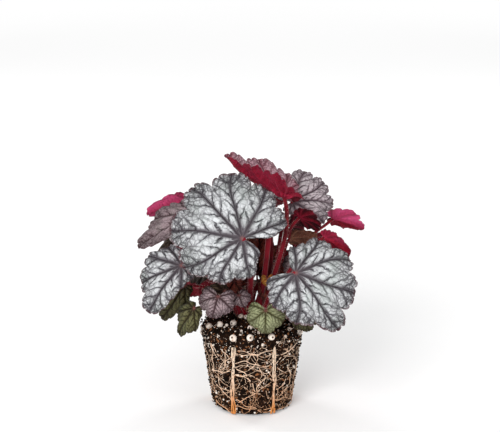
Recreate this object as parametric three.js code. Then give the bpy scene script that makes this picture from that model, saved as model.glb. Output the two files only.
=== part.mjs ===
// A young heuchera (coral bells) lifted out of its nursery cell: a tapered root ball with six
// upright bundles of roots down its side, a short crown, and one stem and one blade per leaf.
// Millimetres, +Z up. The origin is the centre of the root ball's flat underside, and the
// plant's front, where its largest leaf faces, is -Y.
import * as THREE from "three";

// ---- driving dimensions ----
const GAP = 0.3; // clear space between neighbouring pieces

const ROOT_BALL = {
  height: 66, // to the rim of the soil
  underRadius: 27, // flat underside
  baseRadius: 30,
  baseRound: 4.5, // height of the worn lower edge
  rimRadius: 38,
  rimRound: 3, // the soil rolls over at the rim
  domeRise: 3, // the soil climbs a little towards the crown
  sides: 48,
};

const CROWN = { radius: 14.5, sunk: 6, shoulder: 3, top: 75, sides: 24 };

const ROOT_BUNDLE = { width: 5, thickness: 1.6, bottom: 4, top: 50, sections: 8 };
const BUNDLE_AZIMUTHS = [12, 60, 120, 168, 240, 300]; // near the six ribs of the cell

const FOOT_RINGS = [3.6, 7.8, 12.1]; // radii on the crown where the stems stand
const STEM = {
  lean: 0.35, // outward share of the direction in which it leaves the crown
  footPull: 0.4, // how far that direction is kept, as a share of the stem's span
  bladePull: 0.3, // the same where it arrives under the blade
  footSunk: 0.4, // lift of the slanted foot off the crown, as a share of the stem's radius
  sides: 8,
  steps: 9,
};

const BLADE = {
  thickness: 0.8,
  wave: 0.03, // the next five are shares of the blade's length or of a vein's
  curl: 0.05, // the edge turns down
  foldWidth: 0.12, // how wide the bend is where a half is folded up
  notch: 0.12, // how far the edge dips between two veins
  basalTaper: 0.8,
  notchSharpness: 3.6,
  samplesPerLobe: 4,
  rings: 3,
  smallRings: 2,
  smallLength: 30, // blades up to this long get the smaller number of rings
};

// The edge's slow waves: how many radians they turn per radian round the stem's point, their
// height, and how far the leaf's own number shifts them.
const WAVES = [
  { turns: 2.2, height: 1, shift: 1 },
  { turns: 3.7, height: 0.6, shift: 1.7 },
];

// ---- leaf shape by its number of main veins ----
const VEIN_STEP = { 9: 36, 7: 45, 5: 58 }; // degrees between neighbouring veins
const LOBE_LENGTHS = {
  9: [0.6, 0.76, 0.88, 0.96, 1, 0.96, 0.88, 0.76, 0.6],
  7: [0.64, 0.8, 0.93, 1, 0.93, 0.8, 0.64],
  5: [0.72, 0.9, 1, 0.9, 0.72],
};

const COLOURS = {
  silver: 0xa09a9c,
  blush: 0x988a8e,
  rose: 0xb08088,
  mauve: 0x76625f,
  green: 0x7e7d5c,
  olive: 0x6c6a4a,
  dark: 0x5a4f42,
  stem: 0x7d1a30,
  soil: 0x3a2a20,
  crown: 0x5c3a30,
  root: 0xc49c78,
};

// ---- the leaves ----
// at: where the stem meets the blade. length: that point to the middle lobe's tip.
// heading: compass turn of the midrib in degrees, 0 along +X and 90 along +Y.
// pitch: how far the midrib rises. roll: turn about the midrib, positive to its right.
// droop: bend of the blade along the midrib. bow: bend of its left and right half.
// fold: how far each half is raised from flat. lobes: the veins' relative lengths, left to right.
// basal: how many vein steps the blade goes on past its last vein, on the left and on the right.
// foot: ring and azimuth of the stem's foot on the crown. stem: its radius.
const LEAVES = [
  {
    name: "front_great", kind: "silver", at: [-7, -38, 142], length: 54,
    heading: 180, pitch: 10, roll: -57, droop: 12, bow: [-15, 5], basal: [0.45, 0.8],
    lobes: [0.34, 0.56, 0.7, 0.9, 1, 1.02, 0.95, 0.8, 0.68],
    foot: [1, 262], stem: 2.6,
  },
  {
    name: "front_right", kind: "silver", at: [32, -42, 117], length: 47,
    heading: -6, pitch: -15, roll: 51, droop: 18, bow: [-25, -8], basal: [0.1, 0.45],
    lobes: [0.15, 0.5, 0.8, 0.95, 1.0, 1.13, 0.82, 0.66, 0.5],
    foot: [2, 310], stem: 2,
  },
  {
    name: "front_left", kind: "silver", at: [-52, -26, 118], length: 45,
    heading: -145, pitch: -43, roll: -38, droop: 25, bow: [-10, -20], basal: [0.45, 0.25],
    lobes: [0.2, 0.25, 0.3, 0.4, 0.98, 0.76, 0.64, 0.43, 0.28],
    foot: [2, 229], stem: 1.9,
  },
  {
    name: "top_folded", kind: "rose", at: [24, 2, 163.5], length: 55,
    heading: 162, pitch: 12, roll: -18, droop: -47, bow: [0, 8], fold: [58, 12],
    lobes: [0.42, 0.5, 0.66, 0.84, 1.0, 0.72, 0.46, 0.3, 0.2],
    foot: [1, 325], stem: 2.1,
  },
  {
    name: "right_upper", kind: "blush", at: [31, 26, 153], length: 32,
    heading: -5, pitch: 5, roll: 42, droop: 20,
    lobes: [0.55, 0.8, 0.95, 1, 1, 0.95, 0.62, 0.35, 0.3],
    foot: [2, 19], stem: 1.8,
  },
  {
    name: "right_inner", kind: "rose", at: [36, 7, 146], length: 20,
    heading: -22, pitch: -4, roll: -52, droop: 20,
    lobes: [0.25, 0.45, 0.7, 0.9, 1, 0.9, 0.65, 0.45, 0.25],
    foot: [1, 353], stem: 1.5,
  },
  {
    name: "right_tip", kind: "rose", veins: 7, at: [63, 40, 136], length: 26,
    heading: -8, pitch: -8, roll: -45, droop: 20,
    lobes: [0.25, 0.35, 0.5, 1, 0.95, 0.7, 0.35],
    foot: [1, 62], stem: 1.4,
  },
  {
    name: "right_arched", kind: "rose", veins: 7, at: [54, -3, 133], length: 25,
    heading: -8, pitch: -20, roll: -62, droop: 42,
    lobes: [0.25, 0.4, 0.55, 1, 0.55, 0.4, 0.25],
    foot: [2, 346], stem: 1.4,
  },
  {
    name: "left_tip", kind: "rose", veins: 7, at: [-45, 36, 151], length: 38,
    heading: 178, pitch: -10, roll: 50, droop: 15,
    lobes: [0.2, 0.3, 0.5, 1, 0.75, 0.5, 0.25],
    foot: [1, 160], stem: 1.5,
  },
  {
    name: "left_upper", kind: "mauve", at: [-42, 0, 150], length: 51,
    heading: -165, pitch: -18, roll: -22, droop: 18,
    lobes: [0.3, 0.3, 0.35, 0.5, 1, 0.7, 0.45, 0.35, 0.25],
    foot: [1, 198], stem: 1.7,
  },
  {
    name: "left_inner", kind: "dark", at: [-46, 22, 135], length: 38,
    heading: -158, pitch: -24, roll: 8, droop: 22,
    lobes: [0.3, 0.3, 0.36, 0.45, 1, 0.55, 0.4, 0.35, 0.3],
    foot: [2, 152], stem: 1.5,
  },
  {
    name: "young_mauve", kind: "mauve", veins: 5, at: [-25, -36, 97], length: 17,
    heading: -115, pitch: -50, roll: -10, droop: 20,
    foot: [2, 247], stem: 1.2,
  },
  {
    name: "young_small", kind: "mauve", veins: 5, at: [-10, -30, 96], length: 11,
    heading: -60, pitch: -30, roll: 10, droop: 20,
    foot: [2, 266], stem: 1,
  },
  {
    name: "young_green", kind: "green", veins: 5, at: [10, -36, 86], length: 17.5,
    heading: -85, pitch: -55, roll: 0, droop: 25,
    foot: [2, 286], stem: 1.2,
  },
  {
    name: "low_left_upper", kind: "olive", veins: 7, at: [-50, -7, 96.3], length: 33,
    heading: -170, pitch: -50, roll: -36, droop: 18, basal: [0.1, 0.15],
    lobes: [0.12, 0.22, 0.55, 1, 0.6, 0.4, 0.25],
    foot: [2, 172], stem: 1.1,
  },
  {
    name: "low_left_tip", kind: "olive", veins: 7, at: [-43, -27, 85], length: 25,
    heading: -172, pitch: -54, roll: -35, droop: 20,
    lobes: [0.28, 0.4, 0.72, 1, 0.7, 0.35, 0.2],
    foot: [2, 210], stem: 1.2,
  },
  {
    name: "low_right", kind: "olive", veins: 7, at: [35, -11, 80], length: 20,
    heading: -40, pitch: -45, roll: 0, droop: 20,
    lobes: [0.8, 0.9, 1, 1, 1, 0.9, 0.8],
    foot: [2, 330], stem: 1.2,
  },
  {
    name: "inner_right", kind: "mauve", veins: 7, at: [38, 4, 110], length: 16.5,
    heading: 165, pitch: 10, roll: -45, droop: 25,
    foot: [2, 40], stem: 1.4,
  },
  {
    name: "inner_left", kind: "dark", veins: 7, at: [-30, 15, 105], length: 22,
    heading: 183, pitch: -22, roll: -10, droop: 25,
    foot: [2, 191], stem: 1.3,
  },
  {
    name: "back_left", kind: "silver", at: [-25, 50, 112], length: 42,
    heading: 150, pitch: -8, roll: 62, droop: 18, bow: [-12, -12],
    lobes: [0.4, 0.5, 0.65, 0.85, 1, 0.96, 0.88, 0.76, 0.6],
    foot: [1, 128], stem: 2.1,
  },
  {
    name: "back_right", kind: "silver", at: [36, 54, 106], length: 44,
    heading: 30, pitch: -20, roll: -58, droop: 20, bow: [-12, -12],
    lobes: [0.4, 0.6, 0.8, 0.9, 0.95, 0.8, 0.6, 0.4, 0.3],
    foot: [1, 93], stem: 2.1,
  },
  {
    name: "back_top", kind: "silver", at: [9.5, 41, 151], length: 36,
    heading: 116, pitch: -22, roll: 0, droop: 25, bow: [-20, -20],
    lobes: [0.6, 0.76, 0.88, 0.96, 1, 0.85, 0.62, 0.42, 0.3],
    foot: [1, 26], stem: 2.4,
  },
  {
    name: "back_low_left", kind: "silver", at: [-44, 42, 90], length: 32,
    heading: 135, pitch: -42, roll: 20, droop: 22, bow: [-15, -15],
    lobes: [0.4, 0.55, 0.8, 0.95, 1, 0.9, 0.7, 0.5, 0.35],
    foot: [2, 125], stem: 1.7,
  },
  {
    name: "back_low_right", kind: "silver", at: [50, 38, 88], length: 32,
    heading: 35, pitch: -40, roll: -30, droop: 22, bow: [-15, -15],
    foot: [2, 58], stem: 1.7,
  },
  {
    name: "back_olive", kind: "olive", veins: 7, at: [-4, 40, 84], length: 24,
    heading: 95, pitch: -30, roll: 0, droop: 20,
    foot: [2, 95], stem: 1.3,
  },
  {
    name: "wilted_right", kind: "dark", veins: 7, at: [29, 17, 127], length: 22,
    heading: -5, pitch: 10, roll: -60, droop: 20,
    lobes: [0.2, 0.3, 0.55, 1, 0.5, 0.3, 0.2],
    foot: [2, 4], stem: 1.2,
  },
];

const radians = THREE.MathUtils.degToRad;
const clamp = THREE.MathUtils.clamp;
const FULL_TURN = Math.PI * 2;

function material(colour) {
  return new THREE.MeshStandardMaterial({ color: colour, roughness: 0.7, metalness: 0 });
}

function piece(name, geometry, colour) {
  const mesh = new THREE.Mesh(geometry, material(colour));
  mesh.name = name;
  return mesh;
}

// ---- root ball, crown and root bundles ----
function soilTop(radius) {
  const inward = clamp((ROOT_BALL.rimRadius - radius) / ROOT_BALL.rimRadius, 0, 1);
  return ROOT_BALL.height + ROOT_BALL.domeRise * Math.sin((inward * Math.PI) / 2);
}

function makeRootBall() {
  const ball = ROOT_BALL;
  const socket = CROWN.radius + GAP;
  const socketFloor = soilTop(socket) - CROWN.sunk - GAP;
  const profile = [
    [0, 0],
    [ball.underRadius, 0],
    [ball.baseRadius, ball.baseRound],
    [ball.rimRadius, ball.height - ball.rimRound],
    [ball.rimRadius - ball.rimRound, ball.height],
    [socket, soilTop(socket)],
    [socket, socketFloor],
    [0, socketFloor],
  ];
  const points = profile.map(([radius, height]) => new THREE.Vector2(radius, height));
  const geometry = new THREE.LatheGeometry(points, ball.sides);
  geometry.rotateX(Math.PI / 2);
  return piece("root_ball", geometry, COLOURS.soil);
}

function makeCrown() {
  const floor = soilTop(CROWN.radius) - CROWN.sunk;
  const profile = [
    [0, floor],
    [CROWN.radius, floor],
    [CROWN.radius, CROWN.top - CROWN.shoulder],
    [CROWN.radius - CROWN.shoulder / 4, CROWN.top],
    [0, CROWN.top],
  ];
  const points = profile.map(([radius, height]) => new THREE.Vector2(radius, height));
  const geometry = new THREE.LatheGeometry(points, CROWN.sides);
  geometry.rotateX(Math.PI / 2);
  return piece("crown", geometry, COLOURS.crown);
}

function wallRadius(height) {
  const rise = ROOT_BALL.height - ROOT_BALL.rimRound - ROOT_BALL.baseRound;
  const share = (height - ROOT_BALL.baseRound) / rise;
  return ROOT_BALL.baseRadius + share * (ROOT_BALL.rimRadius - ROOT_BALL.baseRadius);
}

function makeRootBundle(index) {
  const bundle = ROOT_BUNDLE;
  const outline = new THREE.Shape();
  outline.absellipse(0, 0, bundle.width / 2, bundle.thickness / 2, 0, FULL_TURN);
  const clear = GAP + bundle.thickness / 2;
  const path = new THREE.LineCurve3(
    new THREE.Vector3(wallRadius(bundle.bottom) + clear, 0, bundle.bottom),
    new THREE.Vector3(wallRadius(bundle.top) + clear, 0, bundle.top),
  );
  const geometry = new THREE.ExtrudeGeometry(outline, {
    extrudePath: path,
    steps: 2,
    curveSegments: bundle.sections / 2,
  });
  const mesh = piece(`root_bundle_${index + 1}`, geometry, COLOURS.root);
  mesh.rotation.z = radians(BUNDLE_AZIMUTHS[index]);
  return mesh;
}

// ---- blades ----
// Radius of the blade at an angle from its midrib, as a share of its length: the lobes' lengths
// are joined smoothly from vein to vein, and the edge dips between two veins.
function lobedRadius(leaf, angle) {
  const step = radians(VEIN_STEP[leaf.veins]);
  const lobes = leaf.lobes;
  const last = (lobes.length - 1) / 2;
  const position = angle / step + last;
  const left = clamp(Math.floor(position), 0, lobes.length - 2);
  const blend = THREE.MathUtils.smoothstep(position - left, 0, 1);
  const reach = lobes[left] * (1 - blend) + lobes[left + 1] * blend;
  const offVein = Math.min(2 * Math.abs(position - Math.round(position)), 1);
  const dip = 1 - BLADE.notch * offVein ** BLADE.notchSharpness;
  const past = clamp((Math.abs(angle) / step - last) / leaf.basal[angle < 0 ? 0 : 1], 0, 1);
  return reach * dip * Math.sqrt(1 - BLADE.basalTaper * past ** 2);
}

// A point at a height above an arc that starts along the first axis and bends up by so many
// radians per millimetre.
function alongArc(distance, bend, height) {
  if (bend === 0) {
    return [distance, height];
  }
  const turn = distance * bend;
  return [
    Math.sin(turn) / bend - height * Math.sin(turn),
    (1 - Math.cos(turn)) / bend + height * Math.cos(turn),
  ];
}

function edgeWaves(leaf, angle) {
  const heights = WAVES.map((wave) => wave.height * Math.sin(wave.turns * angle + wave.shift * leaf.seed));
  return heights.reduce((sum, height) => sum + height, 0);
}

// A point of the blade in its own frame: +X right, +Y along the midrib, +Z its upper side.
function bladePoint(leaf, angle, share, sunk) {
  const radius = leaf.length * share * lobedRadius(leaf, angle);
  const side = angle < 0 ? 0 : 1;
  const wave = BLADE.wave * edgeWaves(leaf, angle) * share ** 2.2;
  const lift = leaf.length * (wave - BLADE.curl * share ** 4) - sunk;
  const across = Math.abs(radius * Math.sin(angle));
  const [out, up] = alongArc(across, radians(leaf.bow[side]) / leaf.length, lift);
  const raised = radians(leaf.fold[side]) * clamp(across / (BLADE.foldWidth * leaf.length), 0, 1);
  const sideways = out * Math.cos(raised) - up * Math.sin(raised);
  const height = out * Math.sin(raised) + up * Math.cos(raised);
  const forward = radius * Math.cos(angle);
  const droop = radians(forward > 0 ? leaf.droop : leaf.droop / 2);
  const [along, above] = alongArc(forward, -droop / leaf.length, height);
  return new THREE.Vector3(side ? sideways : -sideways, along, above);
}

// The closed blade: a fan of rings from the stem's point to the edge, its copy one thickness
// below, and a wall round the outline and down both sides of the notch at the stem.
function bladeGeometry(leaf) {
  const step = radians(VEIN_STEP[leaf.veins]);
  const last = (leaf.veins - 1) / 2;
  const [start, end] = [-step * (last + leaf.basal[0]), step * (last + leaf.basal[1])];
  const spokes = (leaf.veins - 1) * BLADE.samplesPerLobe + 2;
  const rings = leaf.length > BLADE.smallLength ? BLADE.rings : BLADE.smallRings;
  const layerSize = 1 + (spokes + 1) * rings;
  const positions = [];
  for (const sunk of [0, BLADE.thickness]) {
    positions.push(...bladePoint(leaf, 0, 0, sunk).toArray());
    for (let spoke = 0; spoke <= spokes; spoke += 1) {
      const angle = start + ((end - start) * spoke) / spokes;
      for (let ring = 1; ring <= rings; ring += 1) {
        positions.push(...bladePoint(leaf, angle, ring / rings, sunk).toArray());
      }
    }
  }

  // Vertex numbers of the upper and the under side. Ring 0 is the one point at the stem.
  const upper = (spoke, ring) => (ring === 0 ? 0 : 1 + spoke * rings + ring - 1);
  const under = (spoke, ring) => layerSize + upper(spoke, ring);
  const indices = [];
  const quad = (a, b, c, d) => indices.push(a, b, c, a, c, d);
  for (let spoke = 0; spoke < spokes; spoke += 1) {
    const next = spoke + 1;
    indices.push(upper(spoke, 0), upper(next, 1), upper(spoke, 1));
    indices.push(under(spoke, 0), under(spoke, 1), under(next, 1));
    for (let ring = 1; ring < rings; ring += 1) {
      quad(upper(spoke, ring), upper(next, ring), upper(next, ring + 1), upper(spoke, ring + 1));
      quad(under(spoke, ring), under(spoke, ring + 1), under(next, ring + 1), under(next, ring));
    }
    quad(upper(spoke, rings), upper(next, rings), under(next, rings), under(spoke, rings));
  }
  for (let ring = 0; ring < rings; ring += 1) {
    quad(upper(0, ring), upper(0, ring + 1), under(0, ring + 1), under(0, ring));
    quad(upper(spokes, ring + 1), upper(spokes, ring), under(spokes, ring), under(spokes, ring + 1));
  }

  const geometry = new THREE.BufferGeometry();
  geometry.setAttribute("position", new THREE.Float32BufferAttribute(positions, 3));
  geometry.setIndex(indices);
  geometry.computeVertexNormals();
  return geometry;
}

// The blade's axes in the plant: right, midrib and upper side.
function bladeAxes(leaf) {
  const heading = radians(leaf.heading);
  const pitch = radians(leaf.pitch);
  const midrib = new THREE.Vector3(
    Math.cos(pitch) * Math.cos(heading),
    Math.cos(pitch) * Math.sin(heading),
    Math.sin(pitch),
  );
  const level = new THREE.Vector3(Math.sin(heading), -Math.cos(heading), 0);
  const upper = level.clone().cross(midrib).applyAxisAngle(midrib, radians(leaf.roll));
  return { right: midrib.clone().cross(upper), midrib, upper };
}

function makeBlade(leaf) {
  const { right, midrib, upper } = bladeAxes(leaf);
  const mesh = piece(`blade_${leaf.name}`, bladeGeometry(leaf), COLOURS[leaf.kind]);
  mesh.quaternion.setFromRotationMatrix(new THREE.Matrix4().makeBasis(right, midrib, upper));
  mesh.position.set(...leaf.at);
  return mesh;
}

// ---- stems ----
// A stem rises from its foot on the crown, leans out and arrives under the blade.
function stemCurve(leaf) {
  const { midrib, upper } = bladeAxes(leaf);
  const joint = new THREE.Vector3(...leaf.at);
  const [ring, azimuth] = leaf.foot;
  const outward = new THREE.Vector3(Math.cos(radians(azimuth)), Math.sin(radians(azimuth)), 0);
  const foot = outward.clone().multiplyScalar(FOOT_RINGS[ring]);
  foot.z = CROWN.top + GAP + leaf.stem * STEM.footSunk;
  const span = foot.distanceTo(joint);
  const rise = new THREE.Vector3(0, 0, 1).addScaledVector(outward, STEM.lean).normalize();
  const towards = joint.clone().sub(foot).normalize();
  const arrival = midrib.clone().add(upper).add(towards).normalize();
  const tilt = Math.sqrt(1 - Math.min(arrival.dot(upper) ** 2, 1));
  const tip = joint.clone().addScaledVector(upper, -(BLADE.thickness + GAP + leaf.stem * tilt));
  return new THREE.CubicBezierCurve3(
    foot,
    foot.clone().addScaledVector(rise, span * STEM.footPull),
    tip.clone().addScaledVector(arrival, -span * STEM.bladePull),
    tip,
  );
}

function makeStem(leaf) {
  const outline = new THREE.Shape();
  outline.absarc(0, 0, leaf.stem, 0, FULL_TURN);
  const geometry = new THREE.ExtrudeGeometry(outline, {
    extrudePath: stemCurve(leaf),
    steps: STEM.steps,
    curveSegments: STEM.sides / 2,
  });
  return piece(`stem_${leaf.name}`, geometry, COLOURS.stem);
}

// ---- the plant ----
const heuchera = new THREE.Group();
heuchera.add(makeRootBall(), makeCrown());
for (let index = 0; index < BUNDLE_AZIMUTHS.length; index += 1) {
  heuchera.add(makeRootBundle(index));
}
LEAVES.forEach((entry, index) => {
  const veins = entry.veins ?? 9;
  const flat = { bow: [0, 0], fold: [0, 0], basal: [0.45, 0.45] };
  const leaf = { veins, lobes: LOBE_LENGTHS[veins], seed: index + 1, ...flat, ...entry };
  heuchera.add(makeStem(leaf), makeBlade(leaf));
});

export default heuchera;
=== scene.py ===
"""A young heuchera (coral bells) lifted out of its nursery cell and standing on its bare root ball.

Everything is in metres, +Z up, with the plant's front towards -Y. Sizes that are easier to read
in millimetres are written in millimetres and multiplied by MM where they enter the scene.
"""
import itertools
import math

import bpy
import numpy as np
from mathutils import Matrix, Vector


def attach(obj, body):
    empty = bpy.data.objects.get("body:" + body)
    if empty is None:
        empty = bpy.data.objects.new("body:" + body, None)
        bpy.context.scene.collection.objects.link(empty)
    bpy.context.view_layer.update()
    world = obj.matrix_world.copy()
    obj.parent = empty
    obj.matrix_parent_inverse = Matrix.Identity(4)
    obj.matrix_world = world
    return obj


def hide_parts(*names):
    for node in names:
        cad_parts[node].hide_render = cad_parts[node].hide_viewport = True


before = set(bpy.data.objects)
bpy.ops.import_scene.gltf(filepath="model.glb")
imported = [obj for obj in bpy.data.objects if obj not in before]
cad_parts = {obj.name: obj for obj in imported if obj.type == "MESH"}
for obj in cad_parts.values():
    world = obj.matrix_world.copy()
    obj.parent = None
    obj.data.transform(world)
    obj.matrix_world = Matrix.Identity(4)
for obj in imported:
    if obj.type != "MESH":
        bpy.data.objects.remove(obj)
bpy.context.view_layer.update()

# ---- Camera, floor and light ----
# A pale floor that fades into a white room, a large soft light in front on the left, a weaker
# one on the right and two behind that keep the far side readable. The camera looks slightly
# down on the plant's front.
MM = 0.001
LOOK_AT = Vector((-1.5, 0, 148.7)) * MM
CAMERA_DISTANCE = 1.2
CAMERA_RISE = math.radians(15)
LENS = 115.2
SENSOR_WIDTH = 36
FLOOR_SIZE = 8.0
FLOOR_GLOW = (0.05, 0.5)  # its own light, under the plant and far away
FLOOR_FADE = (0.1, 2.5)  # distances from the plant between which the one becomes the other
ROOM_GLOW = 0.5
LIGHT_AIM = Vector((0, 0, 0.1))
# Each light's place, the side of its square and its power in watts.
LIGHTS = {
    "key": ((-0.45, -1.2, 0.8), 0.7, 15),
    "side": ((0.9, -1.1, 0.5), 0.8, 4),
    "rear_left": ((-0.9, 0.9, 0.7), 0.4, 5),
    "rear_right": ((0.9, 0.9, 0.7), 0.4, 5),
}

camera_data = bpy.data.cameras.new("camera")
camera_data.lens = LENS
camera_data.sensor_width = SENSOR_WIDTH
camera_data.clip_start = 0.01
camera = bpy.data.objects.new("camera", camera_data)
away = Vector((0, -math.cos(CAMERA_RISE), math.sin(CAMERA_RISE)))
camera.location = LOOK_AT + away * CAMERA_DISTANCE
camera.rotation_euler = away.to_track_quat("Z", "Y").to_euler()
bpy.context.scene.collection.objects.link(camera)
bpy.context.scene.camera = camera
bpy.context.scene.view_settings.view_transform = "Standard"


class Wire:
    """One output of a node, a number, colour or vector on its way through a material.

    + - * / ** and abs() between numbers add Math nodes, in either order, so 1 - mask works.
    node() adds any other kind: its settings are set first, then its sockets' values or links.
    """

    def __init__(self, tree, socket=None):
        self.tree = tree
        self.socket = socket

    def node(self, kind, settings=None, sockets=None, out=0):
        made = self.tree.nodes.new("ShaderNode" + kind)
        for setting, value in (settings or {}).items():
            setattr(made, setting, value)
        for name, value in (sockets or {}).items():
            if isinstance(value, Wire):
                self.tree.links.new(value.socket, made.inputs[name])
            else:
                made.inputs[name].default_value = value
        return Wire(self.tree, made.outputs[out] if len(made.outputs) else None)

    def maths(self, operation, *numbers, clamp=False):
        settings = {"operation": operation, "use_clamp": clamp}
        return self.node("Math", settings, dict(enumerate(numbers)))

    def vectors(self, operation, *values, out="Vector"):
        return self.node("VectorMath", {"operation": operation}, dict(enumerate(values)), out)

    def __add__(self, other):
        return self.maths("ADD", self, other)

    __radd__ = __add__

    def __sub__(self, other):
        return self.maths("SUBTRACT", self, other)

    def __rsub__(self, other):
        return self.maths("SUBTRACT", other, self)

    def __mul__(self, other):
        return self.maths("MULTIPLY", self, other)

    __rmul__ = __mul__

    def __truediv__(self, other):
        return self.maths("DIVIDE", self, other)

    def __pow__(self, other):
        return self.maths("POWER", self, other)

    def __abs__(self):
        return self.maths("ABSOLUTE", self)

    def larger(self, other):
        return self.maths("MAXIMUM", self, other)

    def clamped(self):
        return self.maths("ADD", self, 0, clamp=True)

    def step(self, low, high):
        """0 below low and 1 above high, smooth between them. low may be the larger one."""
        sockets = {"Value": self, "From Min": low, "From Max": high}
        return self.node("MapRange", {"interpolation_type": "SMOOTHSTEP"}, sockets)

    def bell(self, width):
        """e to the power of -(self / width) squared: 1 at nought, fading within a width."""
        return self.maths("EXPONENT", (self / width) ** 2 * -1)

    def blend(self, first, second):
        """The first colour where self is 0 and the second where it is 1."""
        sockets = {0: self, 6: first, 7: second}
        for key in (6, 7):
            if isinstance(sockets[key], tuple):
                sockets[key] = (*sockets[key], 1)
        settings = {"data_type": "RGBA", "clamp_factor": True}
        return self.node("Mix", settings, sockets, out=2)

    def noise(self, place, scale, detail, out="Fac"):
        sockets = {"Vector": place, "Scale": scale, "Detail": detail}
        return self.node("TexNoise", {}, sockets, out)

    def net(self, place, scale):
        """Distance to the nearest edge of a net of irregular cells, in cell sizes."""
        settings = {"feature": "DISTANCE_TO_EDGE"}
        return self.node("TexVoronoi", settings, {"Vector": place, "Scale": scale}, "Distance")

    def moved(self, offset, amount):
        """This place plus an offset vector, which runs from 0 to 1, centred and scaled."""
        centred = self.vectors("SUBTRACT", offset, (0.5,) * 3)
        return self.vectors("ADD", self, self.vectors("MULTIPLY", centred, (amount,) * 3))

    def length(self):
        return self.vectors("LENGTH", self, out="Value")


def srgb(red, green, blue):
    """The linear colour of an 8-bit display colour."""
    share = np.array((red, green, blue)) / 255
    linear = np.where(share > 0.04045, ((share + 0.055) / 1.055) ** 2.4, share / 12.92)
    return tuple(float(value) for value in linear)


def begin_material(name):
    """An empty node material, and the wire that its first nodes start from."""
    material = bpy.data.materials.new(name)
    material.use_nodes = True
    material.node_tree.nodes.clear()
    return material, Wire(material.node_tree)


def end_material(start, colour, roughness, height=None, depth=0.0, **constants):
    """One Principled surface. height from 0 to 1 is a relief of so many metres."""
    sockets = {"Base Color": colour, "Roughness": roughness}
    for name, value in constants.items():
        sockets[name.replace("_", " ")] = value
    if height is not None:
        relief = {"Height": height, "Distance": depth, "Strength": 1.0}
        sockets["Normal"] = start.node("Bump", {}, relief)
    surface = start.node("BsdfPrincipled", {}, sockets)
    start.node("OutputMaterial", {}, {"Surface": surface})


def floor_material():
    """Matt white that glows more the further it is from the plant."""
    material, start = begin_material("floor")
    distance = start.node("TexCoord", out="Object").length()
    near, far = [(share,) * 3 for share in FLOOR_GLOW]
    glow = distance.step(*FLOOR_FADE).blend(near, far)
    gloss = {"Specular_IOR_Level": 0.0, "Emission_Color": glow, "Emission_Strength": 1.0}
    end_material(start, (*srgb(250, 250, 250), 1), 0.9, **gloss)
    return material


half = FLOOR_SIZE / 2
floor_corners = [(-half, -half, 0), (half, -half, 0), (half, half, 0), (-half, half, 0)]
floor_mesh = bpy.data.meshes.new("floor")
floor_mesh.from_pydata(floor_corners, [], [(0, 1, 2, 3)])
floor_mesh.materials.append(floor_material())
floor = bpy.data.objects.new("floor", floor_mesh)
bpy.context.scene.collection.objects.link(floor)

room = bpy.data.worlds.new("room")
room.use_nodes = True
room.node_tree.nodes["Background"].inputs["Color"].default_value = (1, 1, 1, 1)
room.node_tree.nodes["Background"].inputs["Strength"].default_value = ROOM_GLOW
bpy.context.scene.world = room

for name, (place, size, power) in LIGHTS.items():
    light_data = bpy.data.lights.new(name, "AREA")
    light_data.shape = "SQUARE"
    light_data.size = size
    light_data.energy = power
    light = bpy.data.objects.new(name, light_data)
    light.location = place
    light.rotation_euler = (Vector(place) - LIGHT_AIM).to_track_quat("Z", "Y").to_euler()
    bpy.context.scene.collection.objects.link(light)


# ---- Root ball ----
# Damp peat and bark pressed to the shape of a round nursery cell: a tapered wall, a worn lower
# edge and a rim that rolls over to a top heaped up round the crown. It is one closed skin.
BALL_HEIGHT = 66
BALL_UNDER_RADIUS = 27
BALL_BASE_RADIUS = 30
BALL_BASE_ROUND = 4.5
BALL_RIM_RADIUS = 38
BALL_RIM_ROUND = 3
BALL_DOME_RISE = 3
BALL_HEAP = 4.5  # further rise round the crown
BALL_HEAP_WIDTH = 20
BALL_CORNER = 4.0  # radius of the roundings of the profile
PROFILE_STEPS = 420
UNDERSIDE_STEPS = 70  # those of the profile's steps that run along the flat underside
SOIL_AROUND = 290
LATTICE_TURNS = (127.1, 311.7, 74.7)  # far from each other's multiples, so corners seem random
LATTICE_SEED_TURN = 17.3
LATTICE_MULTIPLE = 43758.5453


def unit(vectors):
    """The same directions at length one. A length of nought stays nought."""
    return vectors / (np.linalg.norm(vectors, axis=-1, keepdims=True) + 1e-9)


def bell(value, width):
    """e to the power of -(value / width) squared: 1 at nought, fading within a width."""
    return np.exp(-((value / width) ** 2))


def smooth(share):
    """3 share^2 - 2 share^3, which leaves nought and reaches one without a corner."""
    return share * share * (3 - 2 * share)


def full_turn(count):
    """So many evenly spaced azimuths, from nought."""
    return np.linspace(0, 2 * math.pi, count, endpoint=False)


def around_axis(radius, azimuth, height):
    """Points at a distance from the plant's axis, at an azimuth in radians and at a height."""
    radius, azimuth, height = np.broadcast_arrays(radius, azimuth, height)
    return np.stack([radius * np.cos(azimuth), radius * np.sin(azimuth), height], axis=-1)


def lumps(points, size, seed):
    """Smooth random heights from -1 to 1: every corner of a lattice with cells of the given size
    gets a random number, the fraction of a large multiple of a sine, and the eight corners round
    a point are blended by how near they are."""
    cell = np.asarray(points) / size
    base = np.floor(cell)
    near = smooth(cell - base)
    total = 0
    for corner in itertools.product((0.0, 1.0), repeat=3):
        turn = (base + corner) @ np.array(LATTICE_TURNS) + seed * LATTICE_SEED_TURN
        mixed = np.sin(turn) * LATTICE_MULTIPLE
        value = 2 * (mixed - np.floor(mixed)) - 1
        total = total + value * np.prod(np.where(corner, near, 1 - near), axis=-1)
    return total


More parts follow.
